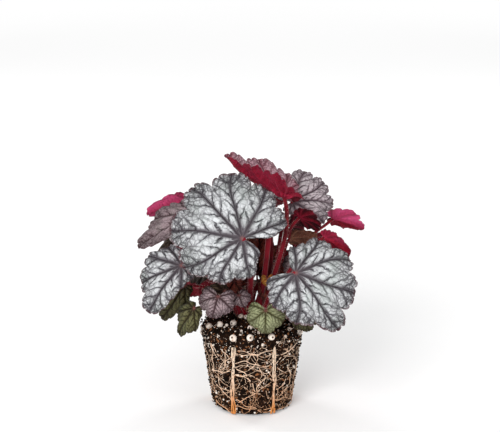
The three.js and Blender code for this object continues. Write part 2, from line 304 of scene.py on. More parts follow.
def skin_faces(rows, around, turned=False):
    """Faces of a closed skin round an axis, whose points come row by row and then the two poles:
    quads between neighbouring rows and a fan of triangles at each end. They face outwards when
    the rows run up and anticlockwise, or turned, when the rows run down or clockwise."""
    number = np.arange(rows * around).reshape(rows, around)
    following = np.roll(number, -1, axis=1)
    quads = np.stack([number[:-1], following[:-1], following[1:], number[1:]], axis=-1)
    pole = np.full(around, rows * around)
    first = np.stack([pole, following[0], number[0]], axis=-1)
    last = np.stack([pole + 1, number[-1], following[-1]], axis=-1)
    groups = [quads.reshape(-1, 4), np.concatenate([first, last])]
    return [np.roll(group[:, ::-1], 1, axis=1) for group in groups] if turned else groups


def new_piece(name, points, face_groups, material, replaced=()):
    """A finished piece from its points, in millimetres, and groups of faces, each group an array
    with one row of point numbers per face. Points below the floor are raised to it. The piece
    stands for the named nodes that it replaces."""
    places = np.maximum(points, (-np.inf, -np.inf, 0)) * MM
    mesh = bpy.data.meshes.new(name)
    mesh.vertices.add(len(places))
    mesh.vertices.foreach_set("co", places.astype(np.float32).ravel())
    corners = np.concatenate([group.ravel() for group in face_groups])
    sides = np.concatenate([np.full(len(group), group.shape[1]) for group in face_groups])
    mesh.loops.add(len(corners))
    mesh.loops.foreach_set("vertex_index", corners.astype(np.int32))
    mesh.polygons.add(len(sides))
    starts = np.concatenate([[0], np.cumsum(sides)[:-1]])
    mesh.polygons.foreach_set("loop_start", starts.astype(np.int32))
    mesh.update(calc_edges=True)
    mesh.shade_smooth()
    mesh.materials.append(material)
    piece = bpy.data.objects.new(name, mesh)
    bpy.context.scene.collection.objects.link(piece)
    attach(piece, "root")
    if replaced:
        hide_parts(*replaced)
    return piece


def wall_radius(height):
    """Radius of the smooth wall at a height, in millimetres."""
    rise = BALL_HEIGHT - BALL_RIM_ROUND - BALL_BASE_ROUND
    share = (np.asarray(height) - BALL_BASE_ROUND) / rise
    return BALL_BASE_RADIUS + share * (BALL_RIM_RADIUS - BALL_BASE_RADIUS)


def soil_top(radius):
    """Height of the smooth soil top at a distance from the axis: a quarter sine up to the dome,
    plus a bell-shaped heap in the middle."""
    inward = np.clip((BALL_RIM_RADIUS - np.asarray(radius)) / BALL_RIM_RADIUS, 0, 1)
    dome = BALL_DOME_RISE * np.sin(inward * math.pi / 2)
    return BALL_HEIGHT + dome + BALL_HEAP * bell(np.asarray(radius), BALL_HEAP_WIDTH)


def ball_profile():
    """Radius and height along the skin, from the underside's centre to the dome's. The outline's
    corners are rounded by running a short average along evenly spaced points. Of these, every
    eighth is kept on the underside and every third elsewhere."""
    inner = np.linspace(BALL_RIM_RADIUS - BALL_RIM_ROUND, 0, 30)
    outline = np.array(
        [
            (0, 0),
            (BALL_UNDER_RADIUS, 0),
            (BALL_BASE_RADIUS, BALL_BASE_ROUND),
            (BALL_RIM_RADIUS, BALL_HEIGHT - BALL_RIM_ROUND),
            *zip(inner, soil_top(inner)),
        ]
    )
    lengths = np.concatenate([[0], np.cumsum(np.hypot(*np.diff(outline, axis=0).T))])
    along = np.linspace(0, lengths[-1], PROFILE_STEPS)
    even = np.stack([np.interp(along, lengths, column) for column in outline.T], axis=1)
    window = int(BALL_CORNER / (along[1] - along[0])) | 1
    padded = np.pad(even, ((window // 2, window // 2), (0, 0)), mode="edge")
    kernel = np.ones(window) / window
    rounded = np.stack([np.convolve(column, kernel, "valid") for column in padded.T], axis=1)
    rounded[[0, -1], 0] = 0
    picked = np.r_[0:UNDERSIDE_STEPS:8, UNDERSIDE_STEPS:PROFILE_STEPS:3]
    picked[-1] = PROFILE_STEPS - 1
    return rounded[picked]


def clods(points, seed):
    """Relief of pressed soil: four sizes of lumps added up, the finest the lowest."""
    relief = 0.8 * lumps(points, 5.0, seed)
    relief = relief + 0.75 * np.abs(lumps(points, 2.6, seed + 1))
    return relief + 0.45 * lumps(points, 1.3, seed + 2) + 0.2 * lumps(points, 0.7, seed + 3)


def make_root_ball(material):
    """The profile carried round the axis. Each point moves along the profile's outward normal by
    the clods' relief, which fades to nothing on the underside. Both poles are one point."""
    profile = ball_profile()
    tangent = np.gradient(profile, axis=0)
    normal = unit(np.stack([tangent[:, 1], -tangent[:, 0]], axis=1))
    turn = full_turn(SOIL_AROUND)
    place = around_axis(profile[:, :1], turn, profile[:, 1:])
    relief = clods(place, 4) * np.clip(profile[:, 1:] / 2.0, 0, 1)
    place = place + around_axis(normal[:, :1] * relief, turn, normal[:, 1:] * relief)
    points = np.concatenate([place[1:-1].reshape(-1, 3), [place[0, 0], place[-1].mean(axis=0)]])
    faces = skin_faces(len(profile) - 2, SOIL_AROUND)
    new_piece("soil", points, faces, material, ["root_ball"])


def soil_material():
    """Dark peat, brown where it is drier, with flecks of bark, in the object's own coordinates."""
    material, start = begin_material("soil")
    place = start.node("TexCoord", out="Object")
    broad = start.noise(place, 90, 3)
    fine = start.noise(place, 700, 3)
    flecks = start.noise(place, 420, 1)
    colour = broad.step(0.38, 0.68).blend(srgb(9, 5, 3), srgb(32, 18, 11))
    colour = fine.step(0.55, 0.75).blend(colour, srgb(84, 54, 34))
    colour = flecks.step(0.62, 0.7).blend(colour, srgb(140, 92, 60))
    height = fine * 0.6 + broad * 0.4
    end_material(start, colour, 0.95, height, depth=0.0012, Specular_IOR_Level=0.08)
    return material


soil_paint = soil_material()
make_root_ball(soil_paint)


# ---- Crumbs ----
# Loose bits of peat and bark that stick out of the soil, where they lay when the ball was lifted
# from its cell. The fine ones roughen its surface and a few large ones make its outline knobbly.
FINE_CRUMBS = 2300
KNOBS = 440


def rounded_bit():
    """The twelve points and twenty faces of a small round bit, an icosahedron. Its faces are the
    sets of three points that are all neighbours, which are 1.05 radii apart."""
    golden = (1 + math.sqrt(5)) / 2
    points = []
    for one, two in itertools.product((-1, 1), (-golden, golden)):
        points += [(0, one, two), (one, two, 0), (two, 0, one)]
    points = np.array(points) / math.hypot(1, golden)
    faces = []
    for trio in itertools.combinations(range(12), 3):
        corners = points[list(trio)]
        gaps = np.linalg.norm(corners - np.roll(corners, 1, axis=0), axis=1)
        if gaps.max() < 1.1:
            outward = np.dot(np.cross(corners[1] - corners[0], corners[2] - corners[0]), corners[0])
            faces.append(trio if outward > 0 else trio[::-1])
    return points, np.array(faces)


def repeated(faces, points_each, count):
    """The faces of so many copies of a shape, whose points follow each other."""
    offset = points_each * np.arange(count)[:, None, None]
    return (faces[None] + offset).reshape(-1, faces.shape[1])


def scattered(shape, faces, centres, sizes, squash, random):
    """Copies of a small shape at many centres, each with its size and a random turn. Each of its
    three axes is shortened at random by up to the squash, and each point moves in or out."""
    count = len(centres)
    w, x, y, z = unit(random.normal(size=(count, 4))).T
    turn = np.array(
        [
            [1 - 2 * (y * y + z * z), 2 * (x * y - z * w), 2 * (x * z + y * w)],
            [2 * (x * y + z * w), 1 - 2 * (x * x + z * z), 2 * (y * z - x * w)],
            [2 * (x * z - y * w), 2 * (y * z + x * w), 1 - 2 * (x * x + y * y)],
        ]
    ).transpose(2, 0, 1)
    stretch = 1 - squash * random.random((count, 1, 3))
    ragged = 1 + squash * 0.5 * (random.random((count, len(shape), 1)) - 0.5)
    copies = shape[None] * ragged * stretch * sizes[:, None, None]
    copies = np.einsum("nij,npj->npi", turn, copies) + centres[:, None]
    return copies.reshape(-1, 3), repeated(faces, len(shape), count)


def on_wall(azimuth, height, lift):
    """Points on the root ball's wall, lifted off the smooth surface by so many millimetres."""
    return around_axis(wall_radius(height) + lift, azimuth, height)


def on_top(azimuth, radius, lift):
    """Points on the soil top, lifted straight up by so many millimetres."""
    return around_axis(radius, azimuth, soil_top(radius) + lift)


def around_ball(count, share_on_wall, low, high, lift, random):
    """Random centres, a share of them on the wall between two heights and the others on the top.
    Each is lifted by at least the first and at most the second number of lift."""
    side = int(count * share_on_wall)
    rise = lift[0] + (lift[1] - lift[0]) * random.random(count)
    azimuth = random.random(count) * 2 * math.pi
    height = low + (high - low) * random.random(side)
    radius = BALL_RIM_RADIUS * np.sqrt(0.14 + 0.84 * random.random(count - side))
    wall = on_wall(azimuth[:side], height, rise[:side])
    return np.concatenate([wall, on_top(azimuth[side:], radius, rise[side:])])


def make_crumbs(material):
    """Squashed bits all over the ball. Few are large: the size of a fine one grows with the cube
    of a random number."""
    random = np.random.default_rng(11)
    fine = around_ball(FINE_CRUMBS, 0.68, 2.5, 66, (0.2, 1.1), random)
    knobs = around_ball(KNOBS, 0.9, 1.5, 65, (0.5, 1.4), random)
    fine_sizes = 0.4 + 0.9 * random.random(FINE_CRUMBS) ** 3
    sizes = np.concatenate([fine_sizes, 0.8 + 0.9 * random.random(KNOBS)])
    points, faces = scattered(*rounded_bit(), np.concatenate([fine, knobs]), sizes, 0.6, random)
    new_piece("soil_crumbs", points, [faces], material)


make_crumbs(soil_paint)


# ---- Perlite ----
# Puffed volcanic glass mixed into the soil: round beads with a small dimple, darkened with
# painted shade, lie on and in the bare collar at the rim, and broken grains are scattered over
# the whole ball.
BEAD_RADIUS = 2.6
BEAD_DIMPLE = 0.4
BEAD_DIMPLE_WIDTH = 0.34  # as an angle from the bead's pole, in radians
# Width of the painted shade in each dimple, as an angle from the bead's pole, in radians.
DIMPLE_SHADE_WIDTH = 0.42
BEADS_BEHIND = 22
BEHIND_START = 325  # azimuth where the stretch without listed beads starts, in degrees
BEHIND_SPAN = 230
COLLAR_GRAINS = 620
NET_GRAINS = 420
# Beads in front: across, depth, height of the centre, in millimetres, and share of full size.
FRONT_BEADS = np.array(
    [
        (-24, -18, 69, 1.0), (-14, -17.5, 70, 0.95), (-14, -36, 64.5, 1.05), (-1.5, -38, 65.5, 1.0),
        (14.5, -36, 65.5, 1.0), (-1.5, -26, 69, 0.75), (1.5, -24, 69.5, 0.5), (-32.5, -15, 67, 0.9),
        (35, -14, 63.5, 0.7), (-8.2, -13.8, 74.5, 0.7), (-4.5, -15, 74, 0.65), (28, -22, 67, 0.6),
        (-25, -28, 63, 0.45), (8, -38, 60, 0.45), (19, -33.5, 60.5, 0.4), (-19, -22, 70, 0.45),
        (-30, -22, 60, 0.4), (25, -29, 63.5, 0.45), (5, -33, 67.5, 0.4), (-8, -30, 68, 0.4),
    ]
)


def add_attribute(piece, name, values):
    """Stores one number, or one vector, for each point of a piece."""
    kind = "FLOAT_VECTOR" if np.ndim(values) == 2 else "FLOAT"
    attribute = piece.data.attributes.new(name, kind, "POINT")
    field = "vector" if kind == "FLOAT_VECTOR" else "value"
    attribute.data.foreach_set(field, np.asarray(values, np.float32).ravel())


def bead_shape(around, down):
    """A sphere whose pole sinks into a dimple: the radius falls near the pole by a bell curve."""
    polar = np.linspace(0, math.pi, down + 1)[1:-1, None]
    radius = 1 - BEAD_DIMPLE * bell(polar, BEAD_DIMPLE_WIDTH)
    rows = around_axis(radius * np.sin(polar), full_turn(around), radius * np.cos(polar))
    points = np.concatenate([rows.reshape(-1, 3), [(0, 0, 1 - BEAD_DIMPLE), (0, 0, -1)]])
    return points, skin_faces(down - 1, around, turned=True)


def perlite_material():
    """Chalky cream glass foam, stained brown by soil here and there, with painted shade in the
    dimples.
    """
    material, start = begin_material("perlite")
    place = start.node("TexCoord", out="Object")
    stain = start.noise(place, 260, 3)
    pores = start.noise(place, 1500, 2)
    colour = stain.step(0.42, 0.75).blend(srgb(244, 232, 220), srgb(176, 148, 126))
    # Painted shade in each bead's dimple, where it sinks.
    sunk = start.node("Attribute", {"attribute_name": "sunk"}, {}, "Fac")
    colour = sunk.step(0.3, 0.75).blend(colour, srgb(70, 48, 36))
    end_material(start, colour, 0.75, pores, depth=0.0004, Specular_IOR_Level=0.3)
    return material


def facing(directions):
    """Turns that carry the pole of a shape to each direction, as arrays of three axes. The first
    axis is square to a slanting direction, which no pole takes."""
    pole = unit(directions)
    side = unit(np.cross(pole, (0.31, 0.17, 0.93)))
    return np.stack([side, np.cross(pole, side), pole], axis=2)


def make_beads(material):
    """Whole beads at the places listed in front and at jittered places round the rest of the
    collar. Each bead's dimple faces outwards and up, a little at random."""
    random = np.random.default_rng(5)
    step = np.arange(BEADS_BEHIND) / BEADS_BEHIND
    azimuth = np.radians(BEHIND_START + BEHIND_SPAN * step + 9 * random.random(BEADS_BEHIND))
    rim = random.random(BEADS_BEHIND) < 0.5
    wall = on_wall(azimuth, 56 + 9 * random.random(BEADS_BEHIND), 0.3)
    top = on_top(azimuth, 24 + 12 * random.random(BEADS_BEHIND), 0.8)
    behind = np.where(rim[:, None], wall, top)
    centres = np.concatenate([FRONT_BEADS[:, :3], behind])
    behind_sizes = 0.4 + 0.6 * random.random(BEADS_BEHIND)
    sizes = BEAD_RADIUS * np.concatenate([FRONT_BEADS[:, 3], behind_sizes])
    outward = unit(centres * (1, 1, 0)) + (0, 0, 0.5)
    outward = outward + 0.3 * random.normal(size=outward.shape)
    shape, groups = bead_shape(20, 14)
    copies = np.einsum("nij,pj->npi", facing(outward), shape) * sizes[:, None, None]
    copies = copies + centres[:, None]
    faces = [repeated(group, len(shape), len(sizes)) for group in groups]
    beads = new_piece("perlite_beads", copies.reshape(-1, 3), faces, material)
    polar = np.arctan2(np.hypot(shape[:, 0], shape[:, 1]), shape[:, 2])
    add_attribute(beads, "sunk", np.tile(bell(polar, DIMPLE_SHADE_WIDTH), len(sizes)))


def make_grains(material):
    """Ragged grains, dense on the collar and sparser on the wall below it."""
    random = np.random.default_rng(23)
    collar = around_ball(COLLAR_GRAINS, 0.55, 50, 66, (0.4, 1.0), random)
    centres = np.concatenate([collar, around_ball(NET_GRAINS, 1.0, 3, 52, (0.4, 0.9), random)])
    sizes = 0.3 + 0.95 * random.random(len(centres)) ** 3
    points, faces = scattered(*rounded_bit(), centres, sizes, 0.5, random)
    grains = new_piece("perlite_grains", points, [faces], material)
    # No painted dimple shade on the grains.
    add_attribute(grains, "sunk", np.zeros(len(points)))


perlite_paint = perlite_material()
make_beads(perlite_paint)
make_grains(perlite_paint)


# ---- Roots ----
# Fine cream roots that ran along the inside of the cell and now wrap the soil. Thicker ones in
# upright bundles followed the cell's six ribs and are orange with age towards the bottom.

# The longest roots in front, each a run of places: across and height, in millimetres.
FRONT_ROOTS = [
    [(-30, 56), (-26, 50), (-22, 44), (-18, 41), (-15, 46)],
    [(-30, 55), (-29, 46), (-28, 35), (-29, 22), (-27, 13), (-26, 2)],
    [(-23, 22), (-25, 29), (-24, 38), (-20, 44), (-14, 50)],
    [(-12, 52), (-8, 51), (-3, 52), (2, 51), (8, 54), (13, 54), (16, 55)],
    [(-10, 55), (-4, 54), (2, 52), (7, 50), (12, 50), (16, 52)],
    [(-12, 44), (-6, 47), (-1, 45), (6, 42), (13, 42), (16, 46)],
    [(-11, 40), (-5, 36), (-1, 30), (2, 23), (3, 19)],
    [(-10, 11), (-4, 16), (2, 19), (7, 24), (13, 27), (18, 30)],
    [(3, 20), (4, 26), (9, 31), (13, 36), (16, 42)],
    [(-12, 8), (-5, 7), (2, 6), (10, 5), (15, 6)],
    [(-11, 14), (-6, 9), (1, 8), (9, 2), (14, 3)],
    [(-23, 20), (-19, 15), (-14, 13)],
    [(-26, 22), (-22, 20), (-15, 20)],
    [(-26, 8), (-22, 5), (-17, 2), (-12, 1)],
    [(18, 50), (23, 49), (27, 51), (33, 54)],
    [(18, 43), (21, 47), (25, 48), (31, 43)],
    [(18, 39), (23, 35), (26, 29), (23, 23), (18, 21)],
    [(26, 40), (28, 31), (28, 22), (25, 17), (19, 14)],
    [(32, 43), (33, 32), (31, 26), (30, 14), (28, 8)],
    [(18, 11), (23, 12), (30, 6)],
    [(18, 3), (24, 3), (29, 1)],
    [(-12, 34), (-7, 34), (-3, 35), (2, 34), (7, 28)],
    [(-29, 33), (-25, 34), (-20, 35), (-15, 37)],
    [(-22, 52), (-19, 50), (-15, 47)],
]
ROOT_STEPS = 30
ROOT_FOLD = 1.2  # height at which wandering roots turn up again
# Azimuth of each bundle at its foot and its top, in degrees.
BUNDLES = [(14, 10), (58, 63), (121, 117), (166, 170), (242, 249), (301.5, 296)]
BUNDLE_TOP = 57
BUNDLE_WAIST = 0.65  # share of its height where a bundle is narrowest
STRANDS = 5


def tubes(paths, radii, sides):
    """Round tubes along many paths with the same number of points. Each ring stands square to
    its path, on two axes made from the path's direction and a fixed one; both ends are closed
    by a fan to a point."""
    count, steps, _ = paths.shape
    forward = unit(np.gradient(paths, axis=1))
    fixed = np.where(np.abs(forward[:, :1, 2:]) > 0.8, (1.0, 0.3, 0.0), (0.1, 0.2, 1.0))
    side = unit(np.cross(forward, fixed))
    lift = np.cross(side, forward)
    turn = full_turn(sides)
    ring = np.cos(turn)[:, None] * side[:, :, None] + np.sin(turn)[:, None] * lift[:, :, None]
    rings = paths[:, :, None] + radii[..., None, None] * ring
    points = np.concatenate([rings.reshape(count, -1, 3), paths[:, :1], paths[:, -1:]], axis=1)
    groups = skin_faces(steps, sides, turned=True)
    faces = [repeated(group, points.shape[1], count) for group in groups]
    return points.reshape(-1, 3), faces


def laid_roots(runs, random):
    """Roots through the given places on the wall's front. Each run is spread evenly along its
    length, rounded by a short average and given a slight wave."""
    paths = []
    for run in runs:
        across, height = np.array(run, float).T
        length = np.concatenate([[0], np.cumsum(np.hypot(np.diff(across), np.diff(height)))])
        along = np.linspace(0, length[-1], ROOT_STEPS)
        kernel = np.ones(5) / 5
        rounded = []
        for values in (across, height):
            even = np.pad(np.interp(along, length, values), 2, mode="reflect", reflect_type="odd")
            rounded.append(np.convolve(even, kernel, "valid"))
        wave = 0.35 * np.sin(along / 1.7 + 6 * random.random())
        height = rounded[1] + wave
        azimuth = -np.arccos(np.clip((rounded[0] + wave) / wall_radius(height), -1, 1))
        paths.append(on_wall(azimuth, height, 1.0 + 0.35 * np.sin(along / 3 + 6 * random.random())))
    thickness = 0.31 * (0.75 + 0.5 * random.random((len(runs), 1)))
    return np.array(paths), thickness * np.linspace(1, 0.65, ROOT_STEPS)


def wandering_roots(count, stride, radius, heading, spread, top, random):
    """Random walks over the wall. The direction turns a little at every step, by a smooth random
    amount, and the walk stays between the base and a top height by folding back."""
    azimuth = random.random(count) * 2 * math.pi
    height = 4 + (top - 7) * random.random(count)
    direction = heading + spread * random.normal(size=count)
    bend = 0.2 * random.normal(size=(count, ROOT_STEPS))
    direction = direction[:, None] + np.cumsum(bend, axis=1)
    across = np.cumsum(stride * np.cos(direction), axis=1)
    height = height[:, None] + np.cumsum(stride * np.sin(direction), axis=1)
    height = ROOT_FOLD + np.abs((height - ROOT_FOLD) % (2 * top) - top)
    azimuth = azimuth[:, None] + across / wall_radius(height)
    ride = 0.45 * np.sin(np.linspace(0, 9, ROOT_STEPS) + 6 * random.random((count, 1)))
    thickness = radius * (0.55 + 0.7 * random.random((count, 1)))
    return on_wall(azimuth, height, 0.6 + ride), thickness * np.linspace(1, 0.5, ROOT_STEPS)


def root_material(name, young, old, low, high):
    """Cream roots that turn to the older colour from the higher to the lower of two heights, in
    metres, streaked with brown."""
    material, start = begin_material(name)
    place = start.node("TexCoord", out="Object")
    level = start.node("SeparateXYZ", {}, {0: place}, "Z")
    drift = (start.noise(place, 60, 2) - 0.5) * 0.03
    colour = (level + drift).step(high, low).blend(young, old)
    streak = start.noise(place, 400, 3)
    colour = streak.step(0.5, 0.75).blend(colour, srgb(128, 86, 56))
    end_material(start, colour, 0.6, streak, depth=0.0003, Specular_IOR_Level=0.35)
    return material


def make_root_net(material):
    """The laid roots and four families of wandering ones, from long upright and level ones to
    short curly ones: their number, stride, radius, heading, its spread and highest place."""
    random = np.random.default_rng(31)
    families = [
        laid_roots(FRONT_ROOTS, random),
        wandering_roots(26, 1.7, 0.22, -1.5, 0.3, 53, random),
        wandering_roots(22, 1.6, 0.21, 0.1, 0.5, 53, random),
        wandering_roots(74, 0.8, 0.16, 0.8, 1.5, 54, random),
        wandering_roots(330, 0.28, 0.14, 0.0, 3.0, 63, random),
    ]
    paths, radii = [np.concatenate(parts) for parts in zip(*families)]
    points, faces = tubes(paths, radii, 5)
    new_piece("root_net", points, faces, material)


def make_bundle(number, foot, top, material):
    """Strands side by side up the wall, closest at the waist. Two sines make each one wander
    sideways, and a third lifts it off the soil."""
    random = np.random.default_rng(49 + number)
    height = np.linspace(1.0, BUNDLE_TOP, 2 * ROOT_STEPS)
    share = height / BUNDLE_TOP
    wander = np.linspace(-1.0, 1.0, STRANDS)[:, None] * (0.6 + 0.9 * np.abs(share - BUNDLE_WAIST))
    wander = wander + 0.55 * np.sin(height / 7 + 6 * random.random((STRANDS, 1)))
    wander = wander + 0.35 * np.sin(height / 2.6 + 6 * random.random((STRANDS, 1)))
    lift = 1.0 + 0.5 * random.random((STRANDS, 1))
    lift = lift + 0.3 * np.sin(height / 5 + 6 * random.random((STRANDS, 1)))
    azimuth = np.radians(foot + (top - foot) * share) + wander / wall_radius(height)
    radii = (0.3 + 0.2 * random.random((STRANDS, 1))) * np.linspace(1.2, 0.75, 2 * ROOT_STEPS)
    points, faces = tubes(on_wall(azimuth, height, lift), radii, 6)
    replaced = [f"root_bundle_{number}"]
    new_piece(f"bundled_roots_{number}", points, faces, material, replaced)


make_root_net(root_material("fine_roots", srgb(240, 208, 180), srgb(226, 172, 130), 0.0, 0.04))
bundle_paint = root_material("bundled_roots", srgb(236, 212, 188), srgb(222, 144, 74), 0.0, 0.038)
for number, (foot, top) in enumerate(BUNDLES, start=1):
    make_bundle(number, foot, top, bundle_paint)


# ---- Leaf blades ----
# Rounded, lobed blades with a scalloped edge, sunk veins and a quilted surface between them:
# silver over dark purple veins above, wine red below. Each is one thin closed skin.

# at: where the stem meets the blade, in millimetres. length: from there to the middle lobe's
# tip. heading, pitch: the midrib's azimuth and rise, and roll: the blade's turn about it, all in
# degrees, as the bends are. droop: down along the midrib. bow, fold: how far the left and right
# halves rise, evenly or close to the midrib. lobes: relative lengths of the main veins. basal:
# vein steps that the blade goes on past its last vein, left and right. foot: ring and azimuth on
# the crown. stem: its radius. flush_light_and_shade: of the underside's left and right halves,
# where 1 is bright pink, its own flush brightened with painted light shining through, 0 wine red
# and -1 nearly black with painted shade.
LEAVES = [
    dict(name="front_great", kind="silver", at=(-7, -38, 142), length=54,
         heading=180, pitch=10, roll=-57, droop=12, bow=(-15, 5), basal=(0.45, 0.8),
         lobes=(0.34, 0.56, 0.7, 0.9, 1, 1.02, 0.95, 0.8, 0.68), foot=(1, 262), stem=2.6),
    dict(name="front_right", kind="silver", at=(32, -42, 117), length=47,
         heading=-6, pitch=-15, roll=51, droop=18, bow=(-25, -8), basal=(0.1, 0.45),
         lobes=(0.15, 0.5, 0.8, 0.95, 1.0, 1.13, 0.82, 0.66, 0.5), foot=(2, 310), stem=2),
    dict(name="front_left", kind="silver", at=(-52, -26, 118), length=45,
         heading=-145, pitch=-43, roll=-38, droop=25, bow=(-10, -20), basal=(0.45, 0.25),
         lobes=(0.2, 0.25, 0.3, 0.4, 0.98, 0.76, 0.64, 0.43, 0.28), foot=(2, 229), stem=1.9),
    dict(name="top_folded", kind="rose", at=(24, 2, 163.5), length=55,
         heading=162, pitch=12, roll=-18, droop=-47, bow=(0, 8), fold=(58, 12), flush_light_and_shade=(0.1, -0.1),
         lobes=(0.42, 0.5, 0.66, 0.84, 1.0, 0.72, 0.46, 0.3, 0.2), foot=(1, 325), stem=2.1),
    dict(name="right_upper", kind="blush", at=(31, 26, 153), length=32,
         heading=-5, pitch=5, roll=42,
         lobes=(0.55, 0.8, 0.95, 1, 1, 0.95, 0.62, 0.35, 0.3), foot=(2, 19), stem=1.8),
    dict(name="right_inner", kind="rose", at=(36, 7, 146), length=20,
         heading=-22, pitch=-4, roll=-52, flush_light_and_shade=(-1.4, -1.1),
         lobes=(0.25, 0.45, 0.7, 0.9, 1, 0.9, 0.65, 0.45, 0.25), foot=(1, 353), stem=1.5),
    dict(name="right_tip", kind="rose", veins=7, at=(63, 40, 136), length=26,
         heading=-8, pitch=-8, roll=-45, flush_light_and_shade=(-0.1, 1.0),
         lobes=(0.25, 0.35, 0.5, 1, 0.95, 0.7, 0.35), foot=(1, 62), stem=1.4),
    dict(name="right_arched", kind="rose", veins=7, at=(54, -3, 133), length=25,
         heading=-8, pitch=-20, roll=-62, droop=42, flush_light_and_shade=(-0.4, 0.2),
         lobes=(0.25, 0.4, 0.55, 1, 0.55, 0.4, 0.25), foot=(2, 346), stem=1.4),
    dict(name="left_tip", kind="rose", veins=7, at=(-45, 36, 151), length=38,
         heading=178, pitch=-10, roll=50, droop=15, flush_light_and_shade=(0.95, 0.7),
         lobes=(0.2, 0.3, 0.5, 1, 0.75, 0.5, 0.25), foot=(1, 160), stem=1.5),
    dict(name="left_upper", kind="mauve", at=(-42, 0, 150), length=51,
         heading=-165, pitch=-18, roll=-22, droop=18,
         lobes=(0.3, 0.3, 0.35, 0.5, 1, 0.7, 0.45, 0.35, 0.25), foot=(1, 198), stem=1.7),
    dict(name="left_inner", kind="dark", at=(-46, 22, 135), length=38,
         heading=-158, pitch=-24, roll=8, droop=22,
         lobes=(0.3, 0.3, 0.36, 0.45, 1, 0.55, 0.4, 0.35, 0.3), foot=(2, 152), stem=1.5),
    dict(name="young_mauve", kind="mauve", veins=5, at=(-25, -36, 97), length=17,
         heading=-115, pitch=-50, roll=-10, foot=(2, 247), stem=1.2),
    dict(name="young_small", kind="mauve", veins=5, at=(-10, -30, 96), length=11,
         heading=-60, pitch=-30, roll=10, foot=(2, 266), stem=1),
    dict(name="young_green", kind="green", veins=5, at=(10, -36, 86), length=17.5,
         heading=-85, pitch=-55, droop=25, foot=(2, 286), stem=1.2),
    dict(name="low_left_upper", kind="olive", veins=7, at=(-50, -7, 96.3), length=33,
         heading=-170, pitch=-50, roll=-36, droop=18, basal=(0.1, 0.15),
         lobes=(0.12, 0.22, 0.55, 1, 0.6, 0.4, 0.25), foot=(2, 172), stem=1.1),
    dict(name="low_left_tip", kind="olive", veins=7, at=(-43, -27, 85), length=25,
         heading=-172, pitch=-54, roll=-35,
         lobes=(0.28, 0.4, 0.72, 1, 0.7, 0.35, 0.2), foot=(2, 210), stem=1.2),
    dict(name="low_right", kind="olive", veins=7, at=(35, -11, 80), length=20,
         heading=-40, pitch=-45,
         lobes=(0.8, 0.9, 1, 1, 1, 0.9, 0.8), foot=(2, 330), stem=1.2),
    dict(name="inner_right", kind="mauve", veins=7, at=(38, 4, 110), length=16.5,
         heading=165, pitch=10, roll=-45, droop=25, foot=(2, 40), stem=1.4),
    dict(name="inner_left", kind="dark", veins=7, at=(-30, 15, 105), length=22,
         heading=183, pitch=-22, roll=-10, droop=25, foot=(2, 191), stem=1.3),
    dict(name="back_left", kind="silver", at=(-25, 50, 112), length=42,
         heading=150, pitch=-8, roll=62, droop=18, bow=(-12, -12),
         lobes=(0.4, 0.5, 0.65, 0.85, 1, 0.96, 0.88, 0.76, 0.6), foot=(1, 128), stem=2.1),
    dict(name="back_right", kind="silver", at=(36, 54, 106), length=44,
         heading=30, pitch=-20, roll=-58, bow=(-12, -12),
         lobes=(0.4, 0.6, 0.8, 0.9, 0.95, 0.8, 0.6, 0.4, 0.3), foot=(1, 93), stem=2.1),
    dict(name="back_top", kind="silver", at=(9.5, 41, 151), length=36,
         heading=116, pitch=-22, droop=25, bow=(-20, -20),
         lobes=(0.6, 0.76, 0.88, 0.96, 1, 0.85, 0.62, 0.42, 0.3), foot=(1, 26), stem=2.4),
    dict(name="back_low_left", kind="silver", at=(-44, 42, 90), length=32,
         heading=135, pitch=-42, roll=20, droop=22, bow=(-15, -15),
         lobes=(0.4, 0.55, 0.8, 0.95, 1, 0.9, 0.7, 0.5, 0.35), foot=(2, 125), stem=1.7),
    dict(name="back_low_right", kind="silver", at=(50, 38, 88), length=32,
         heading=35, pitch=-40, roll=-30, droop=22, bow=(-15, -15), foot=(2, 58), stem=1.7),
    dict(name="back_olive", kind="olive", veins=7, at=(-4, 40, 84), length=24,
         heading=95, pitch=-30, foot=(2, 95), stem=1.3),
    dict(name="wilted_right", kind="dark", veins=7, at=(29, 17, 127), length=22,
         heading=-5, pitch=10, roll=-60,
         lobes=(0.2, 0.3, 0.55, 1, 0.5, 0.3, 0.2), foot=(2, 4), stem=1.2),
]
# Withered and half-grown leaves in the plant's heart, which no solid node stands for.
HEART_LEAVES = [
    dict(name="withered_tall", kind="wilted", veins=5, at=(4, 24, 96), length=31,
         heading=80, pitch=66, roll=10, fold=(20, 20), foot=(0, 20), stem=0.9),
    dict(name="half_grown_front", kind="mauve", veins=5, at=(13, -9, 142), length=12,
         heading=100, pitch=55, foot=(1, 303), stem=2.5),
    dict(name="withered_straw", kind="straw", veins=5, at=(11.5, -13, 104), length=6.5,
         heading=-75, pitch=-62, fold=(10, 10), foot=(0, 315), stem=0.7),
    dict(name="withered_left", kind="dark", veins=7, at=(-20, -21, 96), length=19,
         heading=183, pitch=0, roll=-58, droop=30, fold=(20, 20),
         lobes=(0.2, 0.3, 0.5, 1, 0.5, 0.3, 0.2), foot=(0, 200), stem=0.8),
    dict(name="withered_right", kind="wilted", veins=5, at=(10, -5, 96), length=13,
         heading=-60, pitch=-62, roll=10, droop=40, fold=(25, 35), foot=(0, 300), stem=0.8),
    dict(name="withered_middle", kind="wilted", veins=5, at=(-13, -8, 100), length=13,
         heading=-130, pitch=-40, roll=-10, droop=30, fold=(25, 25), foot=(0, 240), stem=0.8),
    dict(name="half_open_right", kind="rose", veins=5, at=(30, 13, 137), length=15,
         heading=20, pitch=38, roll=-62, foot=(1, 353), stem=0.8, flush_light_and_shade=(-1.2, -1.2)),
    dict(name="half_grown_back", kind="mauve", veins=5, at=(-6, 12, 104), length=13,
         heading=120, pitch=-10, roll=10, droop=25, foot=(0, 120), stem=0.9),
]
